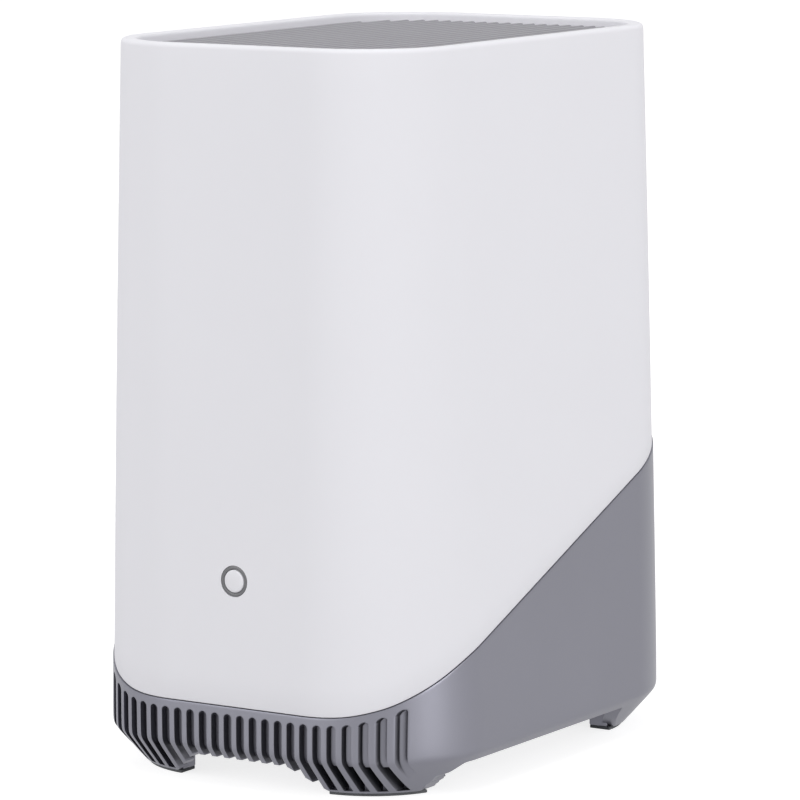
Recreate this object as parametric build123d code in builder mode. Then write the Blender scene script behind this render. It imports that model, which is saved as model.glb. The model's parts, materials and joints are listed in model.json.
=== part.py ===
from build123d import *
import math
import os

# Security camera base station, in millimetres. +Z is up, the front button faces -Y, and the origin lies on the
# ground under the middle of the body.

# Body: a tapered tower with rounded corners, widest at the bend near the ground
station_height = 176.4
body_width, body_depth, body_corner = 101.6, 137.2, 31.7
top_width, top_depth, top_corner = 89.6, 130.4, 24.4
bend_height = 10.0
bevel_share = 0.9
overrun = 5.0

# Seam between the white shell and the grey base: level across the front, climbing along the sides to the back
seam_front_height = 20.15
seam_back_height = 74.3
seam_depth_shares = (-0.985, -0.888, -0.638, 0.867)
seam_rise_shares = (0.0, 0.057, 0.237, 1.0)
seam_rounds = (12.0, 30.0, 60.0, 30.0)
seam_gap = 0.3

# White shell
shell_wall = 2.2
rim_width = 3.8
rim_depth = 4.6
rim_outer_round = 1.4
rim_inner_round = 0.9

# Grey base shell
base_wall = 3.4
grey_proud = 0.3
lip_clearance = 0.1
lip_rise = 4.0
skirt_low = 0.85
foot_rim = 0.6
arch_height = 7.0
front_arch_width = 26.8
front_arch_foot_width = 43.6
side_arch_front_setback, side_arch_front_foot_setback = 29.6, 23.0
side_arch_back_setback, side_arch_back_foot_setback = 32.6, 27.3
arch_round = 2.0

# Slots in the front of the base shell
slot_count = 24
slot_pitch = 3.58
slot_width = 2.15
slot_depth = 1.9
slot_through_drop = 1.6
slot_through_depth = 6.0
slot_seam_margin = 2.6

# Bottom plate with its foot blocks, and the rubber pads
fit_gap = 0.2
plate_thickness = 2.0
foot_block_inset, foot_block_inner_inset = 3.6, 6.2
foot_inner_x = 21.3
foot_front_setback = 22.6
foot_back_setback = 32.1
pad_inset, pad_inner_inset = 0.5, 6.2
pad_edge = 0.25

# Top grille
grille_recess = 1.8
grille_thickness = 2.6
grille_gap = 0.15
grille_flange = 1.4
grille_slot_count = 21
grille_slot_width = 2.1
grille_margin = 3.0
grille_rib_height = 1.2
grille_rib_width = 3.0
grille_rib_spacing = 36.0

# Drive cage for a bare 2.5-inch drive, standing on end behind the front wall
cage_inner_width = 71.5
cage_inner_thickness = 11.0
cage_inner_height = 104.0
cage_sheet = 1.2
cage_setback = 41.6
cage_window_width, cage_window_height = 44.0, 62.0
cage_window_round = 4.0

# Sliding drive door under the bottom plate
door_length = 20.0
door_thickness = 1.7
door_travel = 17.0
door_gap = 0.3
door_overlap = 2.25
rail_web = 1.4
rail_lip_thickness = 1.2
grip_width, grip_length, grip_depth = 22.0, 5.0, 0.9

# Chassis
chassis_floor = 2.0
chassis_inset = 4.6
chassis_wall = 2.0
chassis_back_setback = 26.6
chassis_top_drop = 18.4
wall_window_round = 5.0
wall_window_margin = 9.0
shelf_thickness = 2.0
shelf_sink_gap = 0.8
bar_height = 8.0
bar_thickness = 2.0
bar_low_share = 0.294
boss_radius = 3.4
boss_height = 4.0

# Circuit boards
board_thickness = 1.6
main_board_low = 14.0
main_board_margin = 1.0
port_board_low = 20.4
port_board_width = 68.0
port_board_depth = 15.8
port_post_radius = 3.2
port_post_x, port_post_setback = 31.0, 8.4

# Processor, its cooling and the other parts on the main board
heat_sink_share = 0.636
chip_side, chip_height = 21.0, 1.4
pad_height = 0.8
sink_width, sink_height = 58.0, 66.0
sink_base, sink_fin_length = 3.0, 20.0
sink_fin_count, sink_fin_thickness = 12, 1.3
memory_side, memory_height, memory_x = 12.0, 1.1, 20.0
storage_width, storage_length, storage_height, storage_share = 13.0, 11.5, 1.0, 0.49
coil_side, coil_height, coil_count, coil_pitch, coil_share = 7.0, 4.2, 3, 11.0, 0.238
can_width, can_depth, can_sheet = 34.0, 3.2, 0.3
can_share, can_height_share = 0.783, 0.182

# Rear port panel and the ports behind it
panel_width, panel_height, panel_low = 58.0, 20.0, 19.6
panel_recess = 2.4
panel_thickness = 4.2
panel_gap = 0.15
panel_flange, panel_flange_thickness = 2.6, 1.6
panel_corner = 2.5
port_clearance = 0.2
power_x, usb_x, network_x, sync_x, reset_x = -22.5, -8.9, 8.5, 20.4, 25.8
network_width, network_height, network_depth = 16.0, 13.5, 21.0
network_mouth_width, network_mouth_height, network_mouth_depth = 11.8, 8.2, 14.0
network_mouth_sill = 2.0
latch_slot_width, latch_slot_height = 6.2, 1.6
usb_width, usb_height, usb_depth, usb_sheet = 13.2, 5.8, 17.0, 0.4
tongue_width, tongue_thickness, tongue_setback = 11.2, 1.9, 1.0
usb_back_block = 3.0
power_width, power_height, power_depth = 9.0, 11.0, 17.0
power_bore_radius, power_bore_depth, power_pin_radius, power_pin_setback = 2.9, 10.0, 1.05, 1.0
header_x, header_width, header_depth, header_height = -14.0, 25.0, 4.6, 6.0

# Push buttons and their switches, sizes along the press measured inwards from the button's face
button_gap = 0.08
button_stop_gap = 0.3
flange_thickness = 0.8
plunger_gap = 0.1
plunger_length = 1.9
press_travel, press_spare = 0.5, 0.4
plunger_bore_depth = 2.2
switch_depth = 3.0
front_button_z = 50.3
front_button_radius, front_button_flange = 2.75, 3.5
front_button_proud = 0.25
ring_radius = 3.7
ring_gap = 0.06
ring_length, ring_flange_radius, ring_flange_thickness = 5.8, 5.6, 1.0
ring_flange_gap = 0.3
switch_side, plunger_radius = 6.2, 1.75
sync_button_radius, sync_button_flange = 2.5, 2.95
sync_button_proud = 0.2
reset_hole_radius = 0.8
reset_side, reset_plunger_radius = 4.4, 1.2
reset_plunger_gap = 0.6

# Front button board
front_board_width, front_board_height = 24.0, 30.0
front_board_thickness = 1.2
led_x, led_width, led_height, led_depth = 5.4, 1.6, 3.2, 0.8
front_bracket_thickness = 2.0
front_bracket_width = 26.0

# Drive socket board above the cage
socket_width, socket_thickness, socket_height = 43.0, 5.6, 7.0
drive_board_width, drive_board_depth = 62.0, 22.0

# Speaker on the shelf
speaker_setback = 26.0
speaker_box_side, speaker_box_height_share, speaker_box_wall = 46.0, 0.45, 1.8
speaker_box_corner = 4.0
speaker_radius, cone_radius, cone_hub_radius = 18.0, 15.0, 5.0
basket_rim_thickness, basket_depth_share = 1.4, 0.41
basket_wall = 1.0
magnet_radius, magnet_height_share = 9.0, 0.23
cone_thickness, cone_drop_share = 0.5, 0.18
gasket_width, gasket_thickness = 2.2, 1.0

# Antennas on the chassis walls
antenna_thickness, antenna_depth, antenna_height = 0.8, 16.0, 40.0
antenna_setback, antenna_drop = 12.0, 30.0

# Screws
screw_shank, screw_head, screw_head_height = 1.4, 2.5, 1.5
hole_gap = 0.05
base_screw_x, base_screw_front_setback, base_screw_back_setback = 14.0, 35.0, 8.0
cage_screw_low, cage_screw_high = 32.0, 94.0

# Leads inside the body. The front cable's route is measured back from the front board at first, then from its own
# end on the main board. An antenna lead's route is on the right side, measured from the main board and the antenna.
cable_radius, lead_radius = 1.2, 0.6
bend_run_share = 0.45
cable_front_route = [(7.0, 0, 39.0), (20.0, 0, 38.0), (33.0, 7.8, 34.0), (42.9, 23.8, 29.0), (43.2, 45.8, 26.5)]
cable_back_route = [(43.3, -34.8, 26.0), (43.6, -17.8, 27.2), (43.3, -4.3, 28.2), (36.9, 2.1, 29.0), (27.0, 0, 29.6)]
antenna_route = [(29.0, 0, 11.0), (34.5, 0.1, 10.6), (39.6, -0.2, 10.0), (41.8, -4.6, 9.0), (40.8, -9.7, 8.0)]
antenna_route_end = (-14.7, 7.4)

os.makedirs("parts", exist_ok=True)


def save(piece, label):
    """Labels a finished piece and writes its STEP file."""
    piece.part.label = label
    export_step(piece.part, f"parts/{label}.step")


def outline_at(height):
    """Width, depth and corner radius of the body's outside at a height, bevelled below the bend."""
    rise_share = max(height - bend_height, 0) / (station_height - bend_height)
    drawn_in = max(bend_height - height, 0) * bevel_share
    return (
        body_width + (top_width - body_width) * rise_share - 2 * drawn_in,
        body_depth + (top_depth - body_depth) * rise_share - 2 * drawn_in,
        body_corner + (top_corner - body_corner) * rise_share - drawn_in,
    )


def body_block(heights, inset):
    """Solid with the body's outline at each of the heights, drawn in by an inset."""
    with BuildPart() as block:
        for height in heights:
            width, depth, corner = outline_at(height)
            with BuildSketch(Plane.XY.offset(height)):
                RectangleRounded(width - 2 * inset, depth - 2 * inset, corner - inset)
        loft(ruled=True)
    return block.part


seam_rise = seam_back_height - seam_front_height
seam_knees = [
    (body_depth / 2 * depth_share, seam_front_height + seam_rise * rise_share)
    for depth_share, rise_share in zip(seam_depth_shares, seam_rise_shares)
]


def seam_height_at(y):
    """Height of the seam at a depth, without the rounding of its knees."""
    for (y_a, z_a), (y_b, z_b) in zip(seam_knees, seam_knees[1:]):
        if y_a <= y <= y_b:
            return z_a + (z_b - z_a) * (y - y_a) / (y_b - y_a)
    return seam_front_height if y < 0 else seam_back_height


def below_seam(drop):
    """Everything under the seam line, lowered by a drop."""
    reach = body_depth / 2 + overrun
    knees = [(y, z - drop) for y, z in seam_knees]
    with BuildPart() as region:
        with BuildSketch(Plane.YZ.offset(-body_width / 2 - overrun)):
            with BuildLine():
                line = FilletPolyline(
                    (-reach, knees[0][1]), *knees, (reach, knees[-1][1]), radius=list(seam_rounds)
                )
                Polyline(line @ 1, (reach, -overrun), (-reach, -overrun), line @ 0)
            make_face()
        extrude(amount=body_width + 2 * overrun)
    return region.part


def front_y(x, height):
    """Depth of the body's front, its rounded corners with it, at a place across and a height."""
    width, depth, corner = outline_at(height)
    past_flat = max(abs(x) - (width / 2 - corner), 0)
    return -(depth / 2 - corner) - math.sqrt(max(corner**2 - past_flat**2, 0))


def facing(x, y, z, towards):
    """Plane at a point that faces a direction."""
    return Plane(origin=(x, y, z), z_dir=towards)


FRONT, BACK, UP, DOWN = (0, -1, 0), (0, 1, 0), (0, 0, 1), (0, 0, -1)


def rod(plane, radius, length):
    """Round solid that stands on a plane."""
    with BuildPart() as solid:
        with BuildSketch(plane):
            Circle(radius)
        extrude(amount=length)
    return solid.part


def face_y(z):
    """Half the body's depth at a height: where its flat front and back stand."""
    return outline_at(z)[1] / 2


# Heights and places shared by several pieces, the places set back from the body's front or back
body_front, body_back = -body_depth / 2, body_depth / 2
side_arch_front, side_arch_front_foot = body_front + side_arch_front_setback, body_front + side_arch_front_foot_setback
side_arch_back, side_arch_back_foot = body_back - side_arch_back_setback, body_back - side_arch_back_foot_setback
foot_front_y, foot_back_y = body_front + foot_front_setback, body_back - foot_back_setback
cage_y = body_front + cage_setback
chassis_back_y = body_back - chassis_back_setback
chassis_top = station_height - chassis_top_drop
plate_low = bend_height - plate_thickness
floor_top = bend_height + chassis_floor
cage_half = cage_inner_width / 2 + cage_sheet
wall_outer = cage_half + chassis_wall
cage_top = floor_top + cage_inner_height
shelf_low = cage_top + board_thickness + socket_height / 2
shelf_top = shelf_low + shelf_thickness
main_board_top = chassis_top - main_board_margin
board_back = chassis_back_y + board_thickness
port_board_top = port_board_low + board_thickness
bar_high_z = main_board_top - bar_height - main_board_margin
main_board_height = main_board_top - main_board_low
bar_low_z = main_board_low + main_board_height * bar_low_share
heat_sink_z = main_board_low + main_board_height * heat_sink_share
shelf_back_y = chassis_back_y - chip_height - pad_height - sink_base - sink_fin_length - shelf_sink_gap
port_post_y = board_back + port_post_setback
antenna_y, antenna_z = chassis_back_y - antenna_setback, chassis_top - antenna_drop
side_signs = (-1, 1)
plunger_showing = press_travel + press_spare

# White outer shell, a sleeve with a thick rounded rim
rim_low = station_height - rim_depth
button_plane = facing(0, -body_depth / 2, front_button_z, BACK)
with BuildPart() as outer_shell:
    add(body_block((bend_height, station_height), 0))
    fillet(outer_shell.faces().sort_by(Axis.Z)[-1].edges(), radius=rim_outer_round)
    add(body_block((bend_height, rim_low), shell_wall), mode=Mode.SUBTRACT)
    add(body_block((rim_low - shell_wall, station_height + overrun), rim_width), mode=Mode.SUBTRACT)
    fillet(outer_shell.faces().sort_by(Axis.Z)[-1].inner_wires()[0].edges(), radius=rim_inner_round)
    add(below_seam(0), mode=Mode.SUBTRACT)
    add(rod(button_plane, ring_radius + ring_gap, rim_width + overrun), mode=Mode.SUBTRACT)
save(outer_shell, "outer_shell")

# Top grille: a plate of slats along Y, snapped under the rim by a flange
grille_top = station_height - grille_recess
grille_low = grille_top - grille_thickness
flange_top = rim_low - grille_gap
flange_low = flange_top - grille_flange
grille_inset = rim_width + grille_gap
slot_reach = []
for index in range(grille_slot_count):
    width, depth, corner = outline_at(grille_top)
    x = (index - (grille_slot_count - 1) / 2) * slot_pitch
    inner_corner = corner - grille_inset
    past_flat = max(abs(x) - (width / 2 - corner), 0)
    corner_reach = math.sqrt(max(inner_corner**2 - past_flat**2, 0))
    slot_reach.append((x, depth / 2 - corner + corner_reach - grille_margin))
with BuildPart() as top_grille:
    add(body_block((flange_top - grille_flange / 2, grille_top), grille_inset))
    add(body_block((flange_low, flange_top), shell_wall + grille_gap))
    add(body_block((flange_low, grille_low), grille_inset + grille_margin), mode=Mode.SUBTRACT)
    with BuildSketch(Plane.XY.offset(grille_top)):
        for x, reach in slot_reach:
            with Locations((x, 0)):
                SlotOverall(2 * reach, grille_slot_width, rotation=90)
    extrude(amount=-grille_thickness - overrun, mode=Mode.SUBTRACT)
    with Locations(*[(0, sign * grille_rib_spacing / 2, grille_low) for sign in side_signs]):
        Box(
            slot_pitch * grille_slot_count,
            grille_rib_width,
            grille_rib_height,
            align=(Align.CENTER, Align.CENTER, Align.MIN),
        )
save(top_grille, "top_grille")

# Lip inside the base shell's upper edge, which the white shell slides over
base_heights = (skirt_low, bend_height, seam_back_height + lip_rise + overrun)
with BuildPart() as base_lip:
    add(body_block(base_heights, shell_wall + lip_clearance))
    add(below_seam(-lip_rise), mode=Mode.INTERSECT)


def slot_cutter(x):
    """Cutter of one slot, straight back from the front: a round top, an upright run, then inwards along the bevel,
    where it cuts through the wall, down to the rim that closes the foot."""
    outer = body_front - overrun
    middle = seam_height_at(front_y(x, bend_height)) - slot_seam_margin - slot_width / 2
    through = bend_height - slot_through_drop
    low = skirt_low + foot_rim
    top_depth = front_y(x, middle) + slot_depth
    with BuildPart() as cutter:
        with BuildSketch(Plane.YZ.offset(x)):
            with BuildLine():
                Polyline(
                    (outer, middle),
                    (top_depth, middle),
                    (front_y(x, bend_height) + slot_depth, bend_height),
                    (front_y(x, through) + slot_depth, through),
                    (front_y(x, through) + slot_through_depth, through),
                    (front_y(x, low) + slot_through_depth, low),
                    (outer, low),
                    close=True,
                )
            make_face()
        extrude(amount=slot_width / 2, both=True)
        add(rod(facing(x, outer, middle, BACK), slot_width / 2, top_depth - outer))
    return cutter.part


slot_cutters = [slot_cutter(slot_pitch * (index - (slot_count - 1) / 2)) for index in range(slot_count)]

# Grey base shell: slotted skirt, bevelled in to the four feet, arched between them, with the rear port window
panel_high = panel_low + panel_height
with BuildPart() as base_shell:
    add(body_block(base_heights, -grey_proud))
    add(below_seam(seam_gap), mode=Mode.INTERSECT)
    add(base_lip.part)
    add(body_block(base_heights, base_wall), mode=Mode.SUBTRACT)
    with BuildSketch(Plane.XZ):
        with BuildLine():
            FilletPolyline(
                (-front_arch_foot_width / 2, skirt_low - overrun),
                (-front_arch_foot_width / 2, skirt_low),
                (-front_arch_width / 2, arch_height),
                (front_arch_width / 2, arch_height),
                (front_arch_foot_width / 2, skirt_low),
                (front_arch_foot_width / 2, skirt_low - overrun),
                radius=arch_round,
                close=True,
            )
        make_face()
    extrude(amount=body_depth, both=True, mode=Mode.SUBTRACT)
    with BuildSketch(Plane.YZ):
        with BuildLine():
            FilletPolyline(
                (side_arch_front_foot, skirt_low - overrun),
                (side_arch_front_foot, skirt_low),
                (side_arch_front, arch_height),
                (side_arch_back, arch_height),
                (side_arch_back_foot, skirt_low),
                (side_arch_back_foot, skirt_low - overrun),
                radius=arch_round,
                close=True,
            )
        make_face()
    extrude(amount=body_width, both=True, mode=Mode.SUBTRACT)
    add(slot_cutters, mode=Mode.SUBTRACT)
    with BuildSketch(Plane.XZ.offset(-face_y(panel_high) + base_wall + overrun)):
        with Locations((0, panel_low + panel_height / 2)):
            RectangleRounded(panel_width, panel_height, panel_corner)
    extrude(amount=-base_wall - 2 * overrun, mode=Mode.SUBTRACT)
save(base_shell, "base_shell")

# Bottom plate: closes the body, carries the foot blocks, the drive door's rails and the opening for the drive
door_half = cage_inner_width / 2 + door_overlap
door_front = cage_y - door_length / 2
door_top = plate_low - door_gap
door_low = door_top - door_thickness
rail_low = door_low - door_gap - rail_lip_thickness
rail_front = door_front - door_gap - rail_web
rail_back = door_front + door_length + door_travel + door_gap + rail_web
base_screw_rows = (cage_y + base_screw_front_setback, chassis_back_y - base_screw_back_setback)
base_screw_places = [(sign * base_screw_x, y) for sign in side_signs for y in base_screw_rows]
foot_width, foot_depth, foot_corner = outline_at(skirt_low)
foot_reach_x, foot_reach_y = foot_width / 2 + overrun, foot_depth / 2 + overrun
foot_spans = {
    "front": (-foot_reach_y, foot_front_y),
    "back": (foot_back_y, foot_reach_y),
}
with BuildPart() as foot_blocks:
    add(body_block((skirt_low, plate_low), foot_block_inset))
    add(body_block((skirt_low, plate_low), foot_block_inner_inset), mode=Mode.SUBTRACT)
    with BuildSketch(Plane.XY):
        for sign in side_signs:
            for low_y, high_y in foot_spans.values():
                with Locations((sign * (foot_inner_x + foot_reach_x) / 2, (low_y + high_y) / 2)):
                    Rectangle(foot_reach_x - foot_inner_x, high_y - low_y)
    extrude(amount=bend_height, mode=Mode.INTERSECT)
with BuildPart() as bottom_plate:
    add(body_block((plate_low, bend_height), base_wall + fit_gap))
    add(foot_blocks.part)
    with Locations(*[(sign * (door_half + door_gap), (rail_front + rail_back) / 2, rail_low) for sign in side_signs]):
        Box(
            2 * rail_web,
            rail_back - rail_front,
            plate_low - rail_low,
            align=(Align.CENTER, Align.CENTER, Align.MIN),
        )
    with Locations((0, (rail_front + rail_back) / 2, door_low - door_gap)):
        Box(
            2 * (door_half + door_gap),
            rail_back - rail_front - 2 * rail_web,
            door_thickness + 2 * door_gap,
            align=(Align.CENTER, Align.CENTER, Align.MIN),
            mode=Mode.SUBTRACT,
        )
    with Locations((0, cage_y, 0)):
        Box(cage_inner_width, cage_inner_thickness, station_height, mode=Mode.SUBTRACT)
    for x, y in base_screw_places:
        add(rod(facing(x, y, plate_low, UP), screw_shank + hole_gap, plate_thickness), mode=Mode.SUBTRACT)
save(bottom_plate, "bottom_plate")

# Rubber pads under the foot blocks, curved like them
for end, (low_y, high_y) in foot_spans.items():
    for side, sign in (("left", -1), ("right", 1)):
        with BuildPart() as pad:
            with BuildSketch():
                RectangleRounded(foot_width - 2 * pad_inset, foot_depth - 2 * pad_inset, foot_corner - pad_inset)
                RectangleRounded(
                    foot_width - 2 * pad_inner_inset,
                    foot_depth - 2 * pad_inner_inset,
                    foot_corner - pad_inner_inset,
                    mode=Mode.SUBTRACT,
                )
                with Locations((sign * (foot_inner_x + foot_reach_x) / 2, (low_y + high_y) / 2)):
                    Rectangle(foot_reach_x - foot_inner_x, high_y - low_y, mode=Mode.INTERSECT)
            extrude(amount=skirt_low)
            chamfer(pad.faces().sort_by(Axis.Z)[0].edges(), length=pad_edge)
        save(pad, f"foot_pad_{end}_{side}")

# Drive door: slides back under the bottom plate to open the drive bay
with BuildPart() as drive_door:
    with Locations((0, cage_y, door_low)):
        Box(2 * door_half, door_length, door_thickness, align=(Align.CENTER, Align.CENTER, Align.MIN))
    fillet(drive_door.edges().filter_by(Axis.Z), radius=door_gap + hole_gap)
    with BuildSketch(Plane.XY.offset(door_low)):
        with Locations((0, cage_y)):
            SlotOverall(grip_width, grip_length)
    extrude(amount=grip_depth, mode=Mode.SUBTRACT)
save(drive_door, "drive_door")

# Chassis: floor, two side walls, shelf, cross bars, front bracket and posts in one moulding
front_face = face_y(front_button_z)
button_back = -front_face + ring_length + button_stop_gap + flange_thickness
front_switch_front = button_back + plunger_gap + plunger_showing
front_board_front = front_switch_front + switch_depth
front_bracket_front = front_board_front + front_board_thickness
front_bracket_top = front_button_z + front_board_height / 2
wall_front = cage_y - cage_inner_thickness / 2 - cage_sheet
bar_spans = ((bar_low_z, bar_low_z + bar_height), (bar_high_z, bar_high_z + bar_height))
cage_screw_places = [(sign, z) for sign in side_signs for z in (cage_screw_low, cage_screw_high)]
board_screw_x = cage_half - boss_radius - hole_gap
board_screw_places = [(sign * board_screw_x, (low + high) / 2) for sign in side_signs for low, high in bar_spans]
front_screw_z = front_bracket_top - screw_head - front_board_thickness
with BuildPart() as chassis:
    add(body_block((bend_height, floor_top), chassis_inset))
    with Locations(*[(sign * (cage_half + chassis_wall / 2), 0, 0) for sign in side_signs]):
        with Locations((0, (wall_front + chassis_back_y) / 2, bend_height)):
            Box(
                chassis_wall,
                chassis_back_y - wall_front,
                chassis_top - bend_height,
                align=(Align.CENTER, Align.CENTER, Align.MIN),
            )
    with BuildSketch(Plane.YZ.offset(-wall_outer)):
        window_front = wall_front + 2 * wall_window_margin
        window_back = antenna_y - antenna_depth / 2 - wall_window_margin
        for low, high in ((floor_top, shelf_low), (shelf_top, chassis_top)):
            with Locations(((window_front + window_back) / 2, (low + high) / 2)):
                RectangleRounded(
                    window_back - window_front, high - low - 2 * wall_window_margin, wall_window_round
                )
    extrude(amount=2 * wall_outer, mode=Mode.SUBTRACT)
    with Locations((0, (wall_front + shelf_back_y) / 2, shelf_low)):
        Box(
            2 * cage_half,
            shelf_back_y - wall_front,
            shelf_thickness,
            align=(Align.CENTER, Align.CENTER, Align.MIN),
        )
    for low, high in bar_spans:
        with Locations((0, chassis_back_y - bar_thickness / 2, low)):
            Box(2 * cage_half, bar_thickness, high - low, align=(Align.CENTER, Align.CENTER, Align.MIN))
    with Locations((0, front_bracket_front + front_bracket_thickness / 2, bend_height)):
        Box(
            front_bracket_width,
            front_bracket_thickness,
            front_bracket_top - bend_height,
            align=(Align.CENTER, Align.CENTER, Align.MIN),
        )
    for sign in side_signs:
        post_foot = facing(sign * port_post_x, port_post_y, bend_height, UP)
        add(rod(post_foot, port_post_radius, port_board_low - bend_height))
    for x, y in base_screw_places:
        add(rod(facing(x, y, bend_height, UP), boss_radius, chassis_floor + boss_height))
    for x, y in base_screw_places:
        add(rod(facing(x, y, bend_height, UP), screw_shank + hole_gap, boss_height), mode=Mode.SUBTRACT)
    for sign in side_signs:
        post_hole = facing(sign * port_post_x, port_post_y, port_board_low, DOWN)
        add(rod(post_hole, screw_shank + hole_gap, boss_height), mode=Mode.SUBTRACT)
    for sign, z in cage_screw_places:
        wall_hole = facing(sign * wall_outer, cage_y, z, (-sign, 0, 0))
        add(rod(wall_hole, screw_shank + hole_gap, chassis_wall), mode=Mode.SUBTRACT)
    for x, z in board_screw_places:
        add(rod(facing(x, chassis_back_y, z, FRONT), screw_shank + hole_gap, bar_thickness), mode=Mode.SUBTRACT)
    bracket_hole = facing(0, front_bracket_front, front_screw_z, BACK)
    add(rod(bracket_hole, screw_shank + hole_gap, front_bracket_thickness), mode=Mode.SUBTRACT)
    with Locations((0, cage_y, bend_height)):
        Box(cage_inner_width, cage_inner_thickness, 3 * chassis_floor, mode=Mode.SUBTRACT)
save(chassis, "chassis")

# Drive cage: a folded sheet sleeve, open at its foot for the drive and at its head for the socket
with BuildPart() as drive_cage:
    with BuildSketch(Plane.XY.offset(floor_top)):
        with Locations((0, cage_y)):
            Rectangle(2 * cage_half, cage_inner_thickness + 2 * cage_sheet)
            Rectangle(cage_inner_width, cage_inner_thickness, mode=Mode.SUBTRACT)
    extrude(amount=cage_inner_height)
    with BuildSketch(Plane.XZ.offset(-cage_y)):
        with Locations((0, floor_top + cage_inner_height / 2)):
            RectangleRounded(cage_window_width, cage_window_height, cage_window_round)
    extrude(amount=cage_inner_thickness, both=True, mode=Mode.SUBTRACT)
    for sign, z in cage_screw_places:
        sheet_hole = facing(sign * cage_half, cage_y, z, (-sign, 0, 0))
        add(rod(sheet_hole, screw_shank + hole_gap, cage_sheet), mode=Mode.SUBTRACT)
save(drive_cage, "drive_cage")

# Drive socket, which hangs into the head of the cage from its board under the shelf
drive_board_low = shelf_low - board_thickness
with BuildPart() as drive_board:
    with Locations((0, cage_y + drive_board_depth / 4, drive_board_low)):
        Box(
            drive_board_width,
            drive_board_depth,
            board_thickness,
            align=(Align.CENTER, Align.CENTER, Align.MIN),
        )
save(drive_board, "drive_board")

with BuildPart() as drive_socket:
    with Locations((0, cage_y, drive_board_low)):
        Box(socket_width, socket_thickness, socket_height, align=(Align.CENTER, Align.CENTER, Align.MAX))
    with BuildSketch(Plane.XY.offset(drive_board_low - socket_height)):
        with Locations((0, cage_y)):
            Rectangle(socket_width - socket_thickness / 2, socket_thickness / 2)
    extrude(amount=socket_height / 2, mode=Mode.SUBTRACT)
save(drive_socket, "drive_socket")

# Main board, upright across the back of the chassis
with BuildPart() as main_board:
    with Locations((0, chassis_back_y + board_thickness / 2, main_board_low)):
        Box(
            2 * cage_half,
            board_thickness,
            main_board_top - main_board_low,
            align=(Align.CENTER, Align.CENTER, Align.MIN),
        )
    for x, z in board_screw_places:
        board_hole = facing(x, chassis_back_y, z, BACK)
        add(rod(board_hole, screw_shank + hole_gap, board_thickness), mode=Mode.SUBTRACT)
save(main_board, "main_board")


def chip_on_front(x, z, width, height, depth):
    """Flat block on the side of the main board that faces the front."""
    with BuildPart() as chip:
        with Locations((x, chassis_back_y - depth / 2, z)):
            Box(width, depth, height)
    return chip


processor = chip_on_front(0, heat_sink_z, chip_side, chip_side, chip_height)
save(processor, "processor")

with BuildPart() as thermal_pad:
    with Locations((0, chassis_back_y - chip_height - pad_height / 2, heat_sink_z)):
        Box(chip_side, pad_height, chip_side)
save(thermal_pad, "thermal_pad")

# Heat sink with upright fins, so that warm air rises to the top grille
sink_back = chassis_back_y - chip_height - pad_height
fin_pitch = (sink_width - sink_fin_thickness) / (sink_fin_count - 1)
with BuildPart() as heat_sink:
    with Locations((0, sink_back - sink_base / 2, heat_sink_z)):
        Box(sink_width, sink_base, sink_height)
    with Locations((0, sink_back - sink_base - sink_fin_length / 2, heat_sink_z)):
        with GridLocations(fin_pitch, sink_height, sink_fin_count, 1):
            Box(sink_fin_thickness, sink_fin_length, sink_height)
save(heat_sink, "heat_sink")

with BuildPart() as memory_chips:
    with Locations(*[(sign * memory_x, board_back + memory_height / 2, heat_sink_z) for sign in side_signs]):
        Box(memory_side, memory_height, memory_side)
save(memory_chips, "memory_chips")

storage_z = main_board_low + main_board_height * storage_share
with BuildPart() as storage_chip:
    with Locations((0, board_back + storage_height / 2, storage_z)):
        Box(storage_width, storage_height, storage_length)
save(storage_chip, "storage_chip")

coil_z = main_board_low + main_board_height * coil_share
with BuildPart() as power_coils:
    with Locations((0, board_back + coil_height / 2, coil_z)):
        with GridLocations(coil_pitch, coil_pitch, coil_count, 1):
            Box(coil_side, coil_height, coil_side)
save(power_coils, "power_coils")

# Radio shield can, a shallow sheet lid over the radio circuits
can_z = main_board_low + main_board_height * can_share
can_height = main_board_height * can_height_share
with BuildPart() as shield_can:
    with Locations((0, board_back + can_depth / 2, can_z)):
        Box(can_width, can_depth, can_height)
    with Locations((0, board_back + (can_depth - can_sheet) / 2, can_z)):
        Box(
            can_width - 2 * can_sheet,
            can_depth - can_sheet,
            can_height - 2 * can_sheet,
            mode=Mode.SUBTRACT,
        )
save(shield_can, "shield_can")

# Port board, flat behind the port panel, and the header that joins it to the main board
with BuildPart() as port_board:
    with Locations((0, board_back + port_board_depth / 2, port_board_low)):
        Box(
            port_board_width,
            port_board_depth,
            board_thickness,
            align=(Align.CENTER, Align.CENTER, Align.MIN),
        )
    for sign in side_signs:
        board_hole = facing(sign * port_post_x, port_post_y, port_board_low, UP)
        add(rod(board_hole, screw_shank + hole_gap, board_thickness), mode=Mode.SUBTRACT)
save(port_board, "port_board")

with BuildPart() as board_header:
    with Locations((header_x, board_back + header_depth / 2, port_board_top)):
        Box(header_width, header_depth, header_height, align=(Align.CENTER, Align.CENTER, Align.MIN))
save(board_header, "board_header")

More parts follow.
